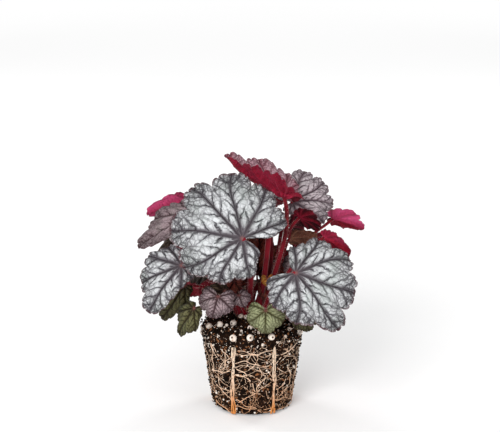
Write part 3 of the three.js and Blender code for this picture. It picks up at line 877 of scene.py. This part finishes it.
LEAF_DEFAULTS = {
    "veins": 9, "roll": 0, "droop": 20, "bow": (0, 0), "fold": (0, 0), "basal": (0.45, 0.45),
    "flush_light_and_shade": (0, 0),
}
VEIN_STEP = {9: 36, 7: 45, 5: 58}  # degrees between neighbouring main veins
LOBE_LENGTHS = {
    9: (0.6, 0.76, 0.88, 0.96, 1, 0.96, 0.88, 0.76, 0.6),
    7: (0.64, 0.8, 0.93, 1, 0.93, 0.8, 0.64),
    5: (0.72, 0.9, 1, 0.9, 0.72),
}
for number, leaf in enumerate(LEAVES + HEART_LEAVES, start=1):
    leaf.update({**LEAF_DEFAULTS, **leaf})
    leaf.setdefault("lobes", LOBE_LENGTHS[leaf["veins"]])
    leaf["seed"] = number
    leaf["step"] = math.radians(VEIN_STEP[leaf["veins"]])

BASAL_TAPER = 0.8
NOTCH = 0.12
NOTCH_SHARPNESS = 3.6
TEETH = 5  # between two main veins
TOOTH_DEPTH = 0.035
VEIN_CURVE = 0.5  # how strongly main veins bend sideways, in radians before their ends are tied
VEIN_WAVER = 0.035
GREAT_LENGTH = 43  # longer blades get a finer mesh
BLADE_THICKNESS = 0.8
EDGE_WAVE = 0.03
EDGE_CURL = 0.05
FOLD_WIDTH = 0.12
BASAL_PAINTED_SHADE = 0.9  # painted shade on the basal lobes, which other leaves shade: taken from an underside's value past the last main veins
QUILT = 0.042  # height of the surface between main veins, as a share of the blade's length
SIDE_QUILT = 0.02  # the same between side veins
SIDE_VEIN_SPACING = 0.17  # along the main vein, as a share of the blade's length
SIDE_VEIN_SLANT = 0.9  # millimetres that a side vein runs outwards for each one it runs sideways
SIDE_VEIN_BEND = 0.012
PATTERN_STEP = 40  # from one blade's patterns to the next one's, so that no two are alike


def lobed_radius(leaf, position):
    """Outline radius as a share of the length. position counts main veins from the left, from 0:
    the veins' lengths are joined by smoothstep, and the edge dips between two veins."""
    lobes = np.array(leaf["lobes"])
    left = np.clip(np.floor(position), 0, len(lobes) - 2).astype(int)
    near = smooth(np.clip(position - left, 0, 1))
    reach = lobes[left] * (1 - near) + lobes[left + 1] * near
    off_vein = np.minimum(2 * np.abs(position - np.round(position)), 1)
    last = (len(lobes) - 1) / 2
    basal = np.where(position < last, *leaf["basal"])
    past = np.clip((np.abs(position - last) - last) / basal, 0, 1)
    return reach * (1 - NOTCH * off_vein**NOTCH_SHARPNESS) * np.sqrt(1 - BASAL_TAPER * past**2)


def along_arc(distance, bend, height):
    """A point above an arc that starts along the first axis and bends up by so many radians per
    millimetre: the arc's end, plus the height along its normal there."""
    if bend == 0:
        return distance, height
    turn = distance * bend
    along = np.sin(turn) / bend - height * np.sin(turn)
    return along, (1 - np.cos(turn)) / bend + height * np.cos(turn)


def bent_blade(leaf, radius, angle, lift):
    """The flat blade's polar points raised by lift, then bowed or folded about the midrib and
    drooped along it. In the blade's frame: +X right, +Y along the midrib, +Z its upper side."""
    across = np.abs(radius * np.sin(angle))
    halves = []
    for bow, fold in zip(leaf["bow"], leaf["fold"]):
        out, up = along_arc(across, math.radians(bow) / leaf["length"], lift)
        near = np.clip(across / (FOLD_WIDTH * leaf["length"]), 0, 1)
        raised = math.radians(fold) * near
        sideways = out * np.cos(raised) - up * np.sin(raised)
        halves.append((sideways, out * np.sin(raised) + up * np.cos(raised)))
    sideways = np.where(angle >= 0, halves[1][0], -halves[0][0])
    height = np.where(angle >= 0, halves[1][1], halves[0][1])
    forward = radius * np.cos(angle)
    droop = -math.radians(leaf["droop"]) / leaf["length"]
    ahead = along_arc(forward, droop, height)
    behind = along_arc(forward, droop / 2, height)
    along = np.where(forward > 0, ahead[0], behind[0])
    above = np.where(forward > 0, ahead[1], behind[1])
    return np.stack([sideways, along, above], axis=-1)


def blade_axes(leaf):
    """The blade's right, midrib and upper directions in the plant."""
    heading, pitch, roll = [math.radians(leaf[angle]) for angle in ("heading", "pitch", "roll")]
    midrib = around_axis(math.cos(pitch), heading, math.sin(pitch))
    level = np.array((math.sin(heading), -math.cos(heading), 0))
    upright = np.cross(level, midrib)
    upper = upright * math.cos(roll) + np.cross(midrib, upright) * math.sin(roll)
    return np.cross(midrib, upper), midrib, upper


def joined(edge, layer):
    """Quads between one skin's edge and the same edge of its copy, a layer of points later."""
    return np.stack([edge[:-1], edge[1:], edge[1:] + layer, edge[:-1] + layer], axis=-1)


def fan_faces(spokes, rings):
    """Faces of a closed skin: a fan of rings from point 0 to the edge, its copy below, and one
    wall between them, out along the first spoke, round the edge and back along the last."""
    layer = 1 + spokes * rings
    grid = 1 + np.arange(spokes * rings).reshape(spokes, rings)
    here, beyond = grid[:-1], grid[1:]
    upper = np.stack([here[:, :-1], beyond[:, :-1], beyond[:, 1:], here[:, 1:]], axis=-1)
    upper = upper.reshape(-1, 4)
    outline = np.concatenate([[0], grid[0], grid[1:, -1], grid[-1, -2::-1], [0]])
    hub = np.zeros(spokes - 1, int)
    upper_fan = np.stack([hub, beyond[:, 0], here[:, 0]], axis=-1)
    quads = np.concatenate([upper, upper[:, ::-1] + layer, joined(outline, layer)])
    return [quads, np.concatenate([upper_fan, upper_fan[:, [0, 2, 1]] + layer])]


def blade_grid(leaf):
    """Each point's place in the flat blade: its position counted in main veins, its share of the
    way from the stem to the edge, its radius and its angle. The main veins bend by sines, and
    scallops shorten the outer rings between teeth."""
    veins, length, seed = leaf["veins"], leaf["length"], leaf["seed"]
    great = length > GREAT_LENGTH
    steps = TEETH * (8 if great else 4)
    rings = int(length * (0.74 if great else 0.66))
    inside = np.linspace(0, veins - 1, (veins - 1) * steps + 1)
    before, after = [np.linspace(0, end, int(end * steps) + 2)[1:] for end in leaf["basal"]]
    position = np.concatenate([-before[::-1], inside, veins - 1 + after])[:, None]
    share = (np.arange(1, rings + 1) / rings)[None]
    curve = VEIN_CURVE * np.sin(2.1 * position + seed) * (share**1.5 - share)
    curve = curve + VEIN_WAVER * np.sin(7 * share + 4 * position + seed) * share
    angle = (position - (veins - 1) / 2) * leaf["step"] + curve
    scallop = np.sqrt(np.abs(np.cos(math.pi * TEETH * position)))
    jitter = 1 + 0.4 * np.sin(position * 11.3 + seed)
    tooth = 1 - TOOTH_DEPTH * jitter * (1 - scallop) * share**14
    return position, share, length * lobed_radius(leaf, position) * share * tooth, angle


def vein_places(leaf, position, radius):
    """How far each point is from its main vein; its place among that vein's side veins, which
    lie at whole numbers and run slanting outwards; and how clear it is, from 0 to 1, of the seam
    where the side veins of two main veins meet."""
    vein = np.clip(np.round(position), 0, leaf["veins"] - 1)
    off = (position - vein) * leaf["step"]
    rib = radius * np.abs(np.sin(off))
    start = radius * np.cos(off) - SIDE_VEIN_SLANT * rib - SIDE_VEIN_BEND * rib**2
    shift = np.sin(vein * 12.9 + leaf["seed"] * 3.1 + np.where(off > 0, 2.4, 0)) * 0.5
    seam = np.clip((0.5 - np.abs(position - vein)) * 6, 0, 1)
    return rib, start / (SIDE_VEIN_SPACING * leaf["length"]) + shift, seam


def blade_lift(leaf, share, angle, pattern, rib, branch, seam):
    """Height above the flat blade: slow waves and the curl of the edge, small lumps, and the
    quilting, which is nought on the veins. It is one minus a bell curve across each main vein,
    and the root of a sine between side veins, which fades at the seam between main veins."""
    length, seed = leaf["length"], leaf["seed"]
    waves = np.sin(2.2 * angle + seed) + 0.6 * np.sin(3.7 * angle + 1.7 * seed)
    slow = EDGE_WAVE * waves * share**2.2 - EDGE_CURL * share**4
    main = QUILT * (1 - bell(rib, 0.06 * length))
    side = SIDE_QUILT * np.sqrt(np.abs(np.sin(math.pi * branch))) * seam * np.clip(rib / 1.5, 0, 1)
    small = 0.006 * lumps(pattern, 0.09 * length, seed) + 0.02 * lumps(pattern, 0.3 * length, seed)
    return length * (slow + main + side + small * np.clip(share * 3, 0, 1))


def make_blade(leaf, material, slot):
    """Two skins over a fine grid of spokes and rings. The lower one is a thickness further down,
    which thins towards the edge and has a ridge under each main vein."""
    veins, length, seed = leaf["veins"], leaf["length"], leaf["seed"]
    position, share, radius, angle = blade_grid(leaf)
    rib, branch, seam = vein_places(leaf, position, radius)
    pattern = around_axis(radius, math.pi / 2 - angle, PATTERN_STEP * seed)
    lift = blade_lift(leaf, share, angle, pattern, rib, branch, seam)
    ridge = 0.5 * bell(rib, 0.7) * (1.2 - share)
    thickness = BLADE_THICKNESS * (0.3 + 0.7 * (1 - share**6)) * (0.75 + ridge)
    skins = [bent_blade(leaf, radius, angle, height) for height in (lift, lift - thickness)]
    hub = bent_blade(leaf, np.zeros(2), np.zeros(2), np.array((0, -BLADE_THICKNESS)))
    local = np.concatenate([hub[:1], skins[0].reshape(-1, 3), hub[1:], skins[1].reshape(-1, 3)])
    points = np.array(leaf["at"]) + local @ np.stack(blade_axes(leaf))
    name = leaf["name"]
    replaced = [f"blade_{name}"] if leaf in LEAVES else []
    faces = fan_faces(*radius.shape)
    piece = new_piece(f"leaf_{name}", points, faces, material, replaced)

    # Painted light and shade of the underside: a lit pink flush above nought, painted shade below.
    flush_light_and_shade = np.interp(position - (veins - 1) / 2, (-0.4, 0.4), leaf["flush_light_and_shade"])
    flush_light_and_shade = flush_light_and_shade * (1 - 0.6 * bell(rib, 0.1 * length))
    past = np.maximum(-position, position - veins + 1)
    # Painted shade on the basal lobes past the last main veins, which other leaves shade.
    flush_light_and_shade = flush_light_and_shade - BASAL_PAINTED_SHADE * np.clip(past * 4, 0, 1)
    for field, values in {"rib": rib, "branch": branch, "reach": share, "flush_light_and_shade": flush_light_and_shade}.items():
        values = np.broadcast_to(values, radius.shape).ravel()
        add_attribute(piece, field, np.tile(np.concatenate([[0], values]), 2))
    pattern = np.concatenate([[(0, 0, PATTERN_STEP * seed)], pattern.reshape(-1, 3)])
    add_attribute(piece, "plane", np.tile(pattern, (2, 1)))
    add_attribute(piece, "under", np.repeat([0, 1], len(points) // 2))


# Each kind of leaf: the width of its finest pattern against a great leaf's, then its colours.
# Above, the light patches, the dull ones, their tinge, the veins and the shade along them;
# below, the skin and its veins.
LEAF_COLOURS = {
    "silver": (1.0, (214, 216, 218), (132, 132, 136), (138, 151, 143), (30, 23, 28),
               (104, 95, 101), (124, 14, 34), (164, 62, 76)),
    "blush": (0.8, (216, 203, 208), (156, 142, 147), (150, 150, 148), (62, 48, 54),
              (112, 94, 102), (124, 14, 34), (164, 62, 76)),
    "rose": (0.8, (212, 172, 183), (176, 126, 136), (180, 140, 146), (70, 34, 44),
             (150, 84, 98), (140, 12, 36), (172, 44, 70)),
    "mauve": (0.5, (172, 152, 156), (116, 96, 100), (130, 124, 120), (44, 28, 32),
              (92, 70, 72), (104, 40, 48), (160, 90, 96)),
    "green": (0.5, (176, 182, 140), (126, 130, 90), (150, 152, 122), (58, 54, 36),
              (104, 102, 68), (110, 84, 56), (150, 120, 84)),
    "olive": (0.6, (114, 112, 76), (76, 72, 44), (92, 98, 66), (32, 26, 16),
              (58, 50, 32), (84, 52, 38), (140, 104, 80)),
    "dark": (0.8, (98, 82, 66), (64, 50, 39), (74, 66, 50), (28, 17, 14),
             (50, 34, 28), (104, 62, 50), (166, 118, 92)),
    "wilted": (0.5, (160, 80, 66), (112, 48, 42), (130, 80, 54), (44, 16, 16),
               (60, 26, 24), (92, 22, 26), (140, 80, 60)),
    "straw": (0.4, (252, 200, 100), (232, 156, 66), (242, 176, 84), (160, 86, 40),
              (204, 120, 62), (226, 146, 64), (180, 100, 48)),
}
SLOTS = {"wilted": "leaf_dark", "straw": "crown"}  # of the kinds that have none of their own
# A great leaf's veins, in millimetres, or in cells to the millimetre for the nets.
MAIN_VEIN = 0.4
MAIN_VEIN_GAIN = 0.6  # added to its width at the stem
MAIN_SHADE = 1.3
MAIN_SHADE_GAIN = 2.0
SIDE_VEIN = 0.03  # as a share of the distance between side veins, as the next one is
SIDE_VEIN_GAIN = 0.045
SIDE_VEIN_REACH = (13.0, 2.0)  # it fades between these distances from the main vein
VEIN_NET = 0.25
FINEST_NET = 0.6
NET_DRIFT = 2.6
EDGE_BAND = (0.52, 0.98)  # shares of the way out between which the fine veins grow dense
HEART_BAND = (0.34, 0.02)  # and between which the dark spreads from the stem
# The underside's pink flush, brightened with painted light, and its near black painted shade.
LIT_FLUSH = srgb(230, 88, 140)
UNDER_PAINTED_SHADE = srgb(54, 6, 16)
STEM_POINT = srgb(146, 92, 88)


def leaf_material(name, small, light, shade, tinted, vein, rim, under, under_vein):
    """A blade's two faces. Above: light patches between dark veins, with painted light on the
    bulges and painted shade towards the veins. The main and side veins follow the blade's own vein
    lines, the finest ones are a net of irregular cells, and the dark spreads from the stem's point.
    Below: the under colour with paler veins, brightened towards a pink flush with painted light or
    darkened with painted shade, by the blade's flush_light_and_shade."""
    material, start = begin_material("leaf_" + name)

    def attribute(field, out="Fac"):
        return start.node("Attribute", {"attribute_name": field}, {}, out)

    plane = attribute("plane", "Vector")
    rib = attribute("rib")
    reach = attribute("reach")
    drift = start.noise(plane, 0.22 / small, 2, "Color")
    wandering = plane.moved(drift, NET_DRIFT * small)
    uneven = start.noise(plane, 0.35 / small, 2)
    fine_uneven = start.noise(plane, 1.3 / small, 2)
    net = start.net(wandering, VEIN_NET / small)
    fine_net = start.net(wandering, FINEST_NET / small)

    # The veins, from 0 between them to 1 in their middle, and the dark that they add up to.
    inward = 1 - reach
    edge = reach.step(*EDGE_BAND)
    heart = reach.step(*HEART_BAND)
    main_line = rib.bell(inward * inward * (MAIN_VEIN_GAIN * small) + MAIN_VEIN * small)
    main_shade = rib.bell(inward * (MAIN_SHADE_GAIN * small) + MAIN_SHADE * small)
    phase = attribute("branch") + (drift.node("SeparateXYZ", {}, {0: drift}, "X") - 0.5) * 0.8
    phase = phase + (fine_uneven - 0.5) * 0.18
    side_near = 0.5 - abs(phase.maths("FRACT", phase) - 0.5)
    side_reach = rib.step(*[distance * small for distance in SIDE_VEIN_REACH])
    side_line = side_near.bell(side_reach * SIDE_VEIN_GAIN + SIDE_VEIN)
    side_strength = side_reach.larger(edge * 0.8) * (0.35 + 0.8 * uneven) + 0.1
    net_line = net.step(0.15, 0.02) * (0.35 + 0.65 * uneven.step(0.25, 0.5))
    fine_line = fine_net.step(0.17, 0.03)
    dark = (main_line * 0.98).larger(side_line * side_strength)
    dark = dark.larger(net_line * (0.3 + 0.55 * edge)).larger(fine_line * (edge * 0.55 + 0.08))

    # The upper face: the skin rises between the veins. There it turns from its dull colour to its
    # light silver, partly the leaf's own pattern and partly painted light on each bulge, with
    # painted shade towards the veins and the edges of the net's cells.
    raised = 1 - side_near.bell(0.17) * rib.step(18.0 * small, 3.0 * small) * 0.9
    raised = raised * rib.step(0.2 * small, 2.4 * small)
    raised = raised * (0.8 + 0.5 * fine_uneven) * (1 - 0.2 * edge) * net.step(-0.3, 0.22)
    base = raised.step(0.1, 0.85).blend(shade, light)
    tinge = start.noise(plane, 0.06 / small, 2).step(0.45, 0.7)
    base = (tinge * 0.45).blend(base, tinted)
    soft = main_shade * (0.3 + 0.4 * inward) + heart * 0.3 + edge * 0.26
    base = (soft * (0.55 + 0.9 * uneven)).clamped().blend(base, rim)
    line_colour = (inward * main_shade * 0.6).clamped().blend(vein, rim)
    upper = (dark * (0.65 + 0.7 * uneven)).clamped().blend(base, line_colour)
    margin = reach.step(0.95, 0.99)
    upper = (margin * 0.4).blend(upper, tuple(0.5 * (a + b) for a, b in zip(under, vein)))
    centre = plane.vectors("MULTIPLY", plane, (1, 1, 0)).length()
    upper = (centre.bell(1.5) * 0.7).blend(upper, STEM_POINT)

    # The under face, which shows from the edge inwards.
    pale = (main_line * 0.8 + side_line * 0.5 + net_line * 0.2).clamped()
    lower = uneven.step(0.3, 0.7).blend(under, tuple(0.6 * share for share in under))
    lower = (pale * 0.6).blend(lower, under_vein)
    # The underside's painted light, a lit pink flush, and its painted shade, nearly black.
    flush_light_and_shade = attribute("flush_light_and_shade")
    lower = flush_light_and_shade.clamped().blend(lower, LIT_FLUSH)
    lower = (flush_light_and_shade * -1).clamped().blend(lower, UNDER_PAINTED_SHADE)
    below = attribute("under") * reach.step(1.0, 0.985)
    groove = dark * -0.6 + fine_uneven * 0.4 + raised * 0.5
    colour = below.blend(upper, lower)
    end_material(start, colour, 0.55, groove, depth=0.0009, Specular_IOR_Level=0.12)
    return material


leaf_paints = {}
for kind, (small, *colours) in LEAF_COLOURS.items():
    leaf_paints[kind] = leaf_material(kind, small, *[srgb(*colour) for colour in colours])
for leaf in LEAVES + HEART_LEAVES:
    kind = leaf["kind"]
    make_blade(leaf, leaf_paints[kind], SLOTS.get(kind, "leaf_" + kind))


# ---- Stems ----
# One juicy crimson leaf stem per blade, thicker at its foot, where it grows from the crown, and
# slimmer towards the blade that it carries.
CROWN_TOP = 75
FOOT_RINGS = (3.6, 7.8, 12.1)
STEM_STEPS = 36
STEM_SIDES = 12


def stem_path(leaf, steps):
    """A Bezier curve from the foot on the crown, first up and outwards, to the blade's underside,
    where it arrives along the sum of the blade's midrib, its upper side and the way there."""
    _, midrib, upper = blade_axes(leaf)
    joint = np.array(leaf["at"], float)
    ring, azimuth = leaf["foot"]
    outward = around_axis(1, math.radians(azimuth), 0)
    foot = outward * FOOT_RINGS[ring] + (0, 0, CROWN_TOP - 2)
    span = np.linalg.norm(joint - foot)
    rise = unit((0, 0, 1) + 0.35 * outward)
    arrival = unit(midrib + upper + (joint - foot) / span)
    tip = joint - upper * 0.5
    second = foot + rise * span * 0.4
    third = tip - arrival * span * 0.3
    t = np.linspace(0, 1, steps)[:, None]
    left = 1 - t
    return left**3 * foot + 3 * left**2 * t * second + 3 * left * t**2 * third + t**3 * tip


def make_stem(leaf, material):
    """A tube along the stem's path: the radius tapers towards the blade, swells at the foot by a
    bell curve and wavers a little by a sine."""
    t = np.linspace(0, 1, STEM_STEPS)
    radius = 0.92 - 0.12 * t + 0.45 * bell(t, 0.09)
    radius = leaf["stem"] * (radius + 0.036 * np.sin(t * 14 + leaf["seed"]))
    points, faces = tubes(stem_path(leaf, STEM_STEPS)[None], radius[None], STEM_SIDES)
    name = leaf["name"]
    replaced = [f"stem_{name}"] if leaf in LEAVES else []
    new_piece(f"petiole_{name}", points, faces, material, replaced)


def stem_material():
    """Crimson, streaked lengthways with darker and paler red, under a soft bloom."""
    material, start = begin_material("stem")
    place = start.node("TexCoord", out="Object")
    stretched = start.node("Mapping", {}, {"Vector": place, "Scale": (1, 1, 0.12)})
    streak = start.noise(stretched, 420, 3)
    broad = start.noise(place, 45, 2)
    colour = broad.step(0.35, 0.65).blend(srgb(76, 4, 14), srgb(130, 11, 31))
    colour = streak.step(0.6, 0.85).blend(colour, srgb(176, 70, 74))
    bloom = {"Sheen_Weight": 1.0, "Sheen_Roughness": 0.3, "Sheen_Tint": (1.0, 0.8, 0.74, 1)}
    end_material(start, colour, 0.5, streak, depth=0.0003, Specular_IOR_Level=0.15, **bloom)
    return material


stem_paint = stem_material()
for leaf in LEAVES + HEART_LEAVES:
    make_stem(leaf, stem_paint)


# ---- Stem hairs ----
# The down of the stems: short, soft, nearly white hairs that grow from the skin all round every
# stem and catch the light along its edges.
HAIRS_PER_STEM = 150
HAIR_LENGTH = 1.3
HAIR_RADII = (0.09, 0.03)


def make_hairs(material):
    """Cones that stand square to each stem's path, at random places along and around it, leaning
    a little at random. Each starts inside the stem."""
    random = np.random.default_rng(77)
    paths = []
    for leaf in LEAVES:
        path = stem_path(leaf, 80)[4:-4]
        forward = unit(np.gradient(path, axis=0))
        place = random.integers(0, len(path), HAIRS_PER_STEM)
        away = unit(np.cross(forward[place], random.normal(size=(HAIRS_PER_STEM, 3))))
        root = path[place] + (random.random((HAIRS_PER_STEM, 1)) - 0.5) * forward[place]
        lean = away + 0.3 * random.normal(size=away.shape)
        reach = HAIR_LENGTH * (0.6 + 0.4 * random.random((HAIRS_PER_STEM, 1)))
        skin = leaf["stem"] * away
        paths.append(np.stack([root + 0.6 * skin, root + skin + reach * lean], axis=1))
    paths = np.concatenate(paths)
    points, faces = tubes(paths, np.tile(HAIR_RADII, (len(paths), 1)), 3)
    new_piece("stem_hairs", points, faces, material)


def hair_material():
    """Pale pink, nearly white, a little redder here and there."""
    material, start = begin_material("stem_hairs")
    place = start.node("TexCoord", out="Object")
    colour = start.noise(place, 60, 1).step(0.4, 0.6).blend(srgb(236, 208, 200), srgb(206, 150, 148))
    end_material(start, colour, 0.6, Specular_IOR_Level=0.3)
    return material


make_hairs(hair_material())


# ---- Buds ----
# Unopened leaves, still rolled up, that push up from the crown between the stems' feet and are
# of the same crimson flesh.
BUDS = 16
BUD_TURN = 2.4  # from one bud's azimuth to the next one's, in radians


def make_buds(material):
    """Spindles that rise from the crown and lean outwards by t^2. The radius is a sine of t^1.6,
    so the belly lies above the middle, and the square root of 1.02 - t^4 closes the tip."""
    random = np.random.default_rng(9)
    azimuth = np.arange(BUDS) * BUD_TURN
    foot = around_axis(3 + 8 * random.random(BUDS), azimuth, CROWN_TOP - 1)
    outward = around_axis(1, azimuth, 0)
    height = 8 + 11 * random.random((BUDS, 1, 1))
    t = np.linspace(0, 1, 16)[None]
    rise = t[..., None] * (0, 0, 1) + 0.3 * t[..., None] ** 2 * outward[:, None]
    profile = 0.45 + 0.9 * np.sin(math.pi * t**1.6) ** 1.5
    radii = (0.8 + 0.5 * random.random((BUDS, 1))) * profile * np.sqrt(1.02 - t**4)
    points, faces = tubes(foot[:, None] + height * rise, radii, 10)
    new_piece("leaf_buds", points, faces, material)


make_buds(stem_paint)


# ---- Crown ----
# The short brown woody base that all the stems grow from, half sunk in the top of the soil: a
# low dome on a short wall.
CROWN_AROUND = 72
CROWN_ROWS = 30
CROWN_PROFILE = np.array(
    [
        (14.8, 58), (15, 62), (15, 66), (14.6, 70), (13.8, 73), (12, 75.2), (9, 76.4), (5, 77.2),
        (2, 77.6),
    ]
)


def crown_material():
    """Dry brown bark, streaked and patchy."""
    material, start = begin_material("crown")
    place = start.node("TexCoord", out="Object")
    broad = start.noise(place, 110, 3)
    fine = start.noise(place, 500, 3)
    colour = broad.step(0.4, 0.65).blend(srgb(46, 26, 20), srgb(104, 66, 48))
    colour = fine.step(0.55, 0.75).blend(colour, srgb(150, 112, 84))
    end_material(start, colour, 0.8, fine, depth=0.0008, Specular_IOR_Level=0.3)
    return material


def make_crown(material):
    """The profile carried round the axis and pushed out and up by lumps."""
    even = np.linspace(0, len(CROWN_PROFILE) - 1, CROWN_ROWS)
    corner = np.arange(len(CROWN_PROFILE))
    radius, height = [np.interp(even, corner, column)[:, None] for column in CROWN_PROFILE.T]
    place = around_axis(radius, full_turn(CROWN_AROUND), height)
    relief = 1 + 0.09 * lumps(place, 4, 3) + 0.04 * lumps(place, 1.8, 8)
    place[..., :2] *= relief[..., None]
    place[..., 2] += 1.2 * lumps(place, 3.5, 6)
    points = np.concatenate([place.reshape(-1, 3), [(0, 0, 57), (0, 0, 77.4)]])
    faces = skin_faces(CROWN_ROWS, CROWN_AROUND)
    new_piece("crown_bark", points, faces, material, ["crown"])


make_crown(crown_material())


# ---- Dry sheaths ----
# The papery remains of old leaf stems, three round the foot of every living one: pointed brown
# strips that still grow from the crown, cupped round the stem and crumpled.
SHEATHS_PER_STEM = 3
SHEATH_TURN = 2.1  # from one sheath's place round the stem to the next one's, in radians
SHEATH_THICKNESS = 0.2


def sheets(front, thickness, outward):
    """Thin closed sheets from the points of their fronts, an array of sheets, rows and columns:
    a copy of each is moved back by the thickness and joined to it round the edge."""
    count, rows, columns, _ = front.shape
    skins = [front.reshape(count, -1, 3), (front - thickness * outward).reshape(count, -1, 3)]
    number = np.arange(rows * columns).reshape(rows, columns)
    quads = np.stack([number[:-1, :-1], number[:-1, 1:], number[1:, 1:], number[1:, :-1]], axis=-1)
    quads = quads.reshape(-1, 4)
    edge = np.concatenate([number[0], number[1:, -1], number[-1, -2::-1], number[-2::-1, 0]])
    layer = rows * columns
    faces = np.concatenate([quads, quads[:, ::-1] + layer, joined(edge[::-1], layer)])
    return np.concatenate(skins, axis=1).reshape(-1, 3), repeated(faces, 2 * layer, count)


def make_sheaths(material):
    """Strips of width sqrt(1 - t^2) at height t that stand up round each stem's foot. They bow
    by the square of the place across, curl outwards by t^2 and are crumpled by lumps."""
    random = np.random.default_rng(41)
    t = np.linspace(0, 0.96, 8)[None, :, None, None]
    u = np.linspace(-1, 1, 6)[None, None, :, None]
    feet, outward = [], []
    for leaf in LEAVES:
        ring, azimuth = leaf["foot"]
        turn = SHEATH_TURN * np.arange(SHEATHS_PER_STEM) + random.random(SHEATHS_PER_STEM)
        direction = around_axis(1, math.radians(azimuth) + turn, 0)
        centre = around_axis(FOOT_RINGS[ring], math.radians(azimuth), CROWN_TOP - 3)
        feet.append(centre + direction * leaf["stem"] * 1.25)
        outward.append(direction)
    feet = np.concatenate(feet)[:, None, None]
    outward = np.concatenate(outward)[:, None, None]
    sideways = np.cross(outward, (0, 0, 1.0))
    each = (len(feet), 1, 1, 1)
    length = 5 + 8 * random.random(each) ** 2
    width = 1.3 + 1.2 * random.random(each)
    curl = 0.35 * random.random(each) * length
    place = feet + length * t * (0, 0, 1.0) + outward * (curl * t**2 - 0.45 * width * u**2)
    place = place + sideways * u * width * np.sqrt(1 - t**2)
    place = place + 0.35 * lumps(place, 1.5, 5)[..., None] * outward
    points, faces = sheets(place, SHEATH_THICKNESS, outward)
    new_piece("dry_husks", points, [faces], material)


def sheath_material():
    """Papery brown, orange in patches, its own dry colour brightened with painted light shining
    through, and red near the stems.
    """
    material, start = begin_material("husks")
    place = start.node("TexCoord", out="Object")
    broad = start.noise(place, 140, 2)
    fine = start.noise(place, 700, 3)
    colour = broad.step(0.4, 0.6).blend(srgb(96, 44, 32), srgb(170, 108, 66))
    # Orange patches: the dry paper's own colour with painted light shining through.
    colour = broad.step(0.6, 0.7).blend(colour, srgb(222, 158, 88))
    colour = fine.step(0.5, 0.75).blend(colour, srgb(70, 34, 26))
    end_material(start, colour, 0.7, fine, depth=0.0004, Specular_IOR_Level=0.3)
    return material


make_sheaths(sheath_material())
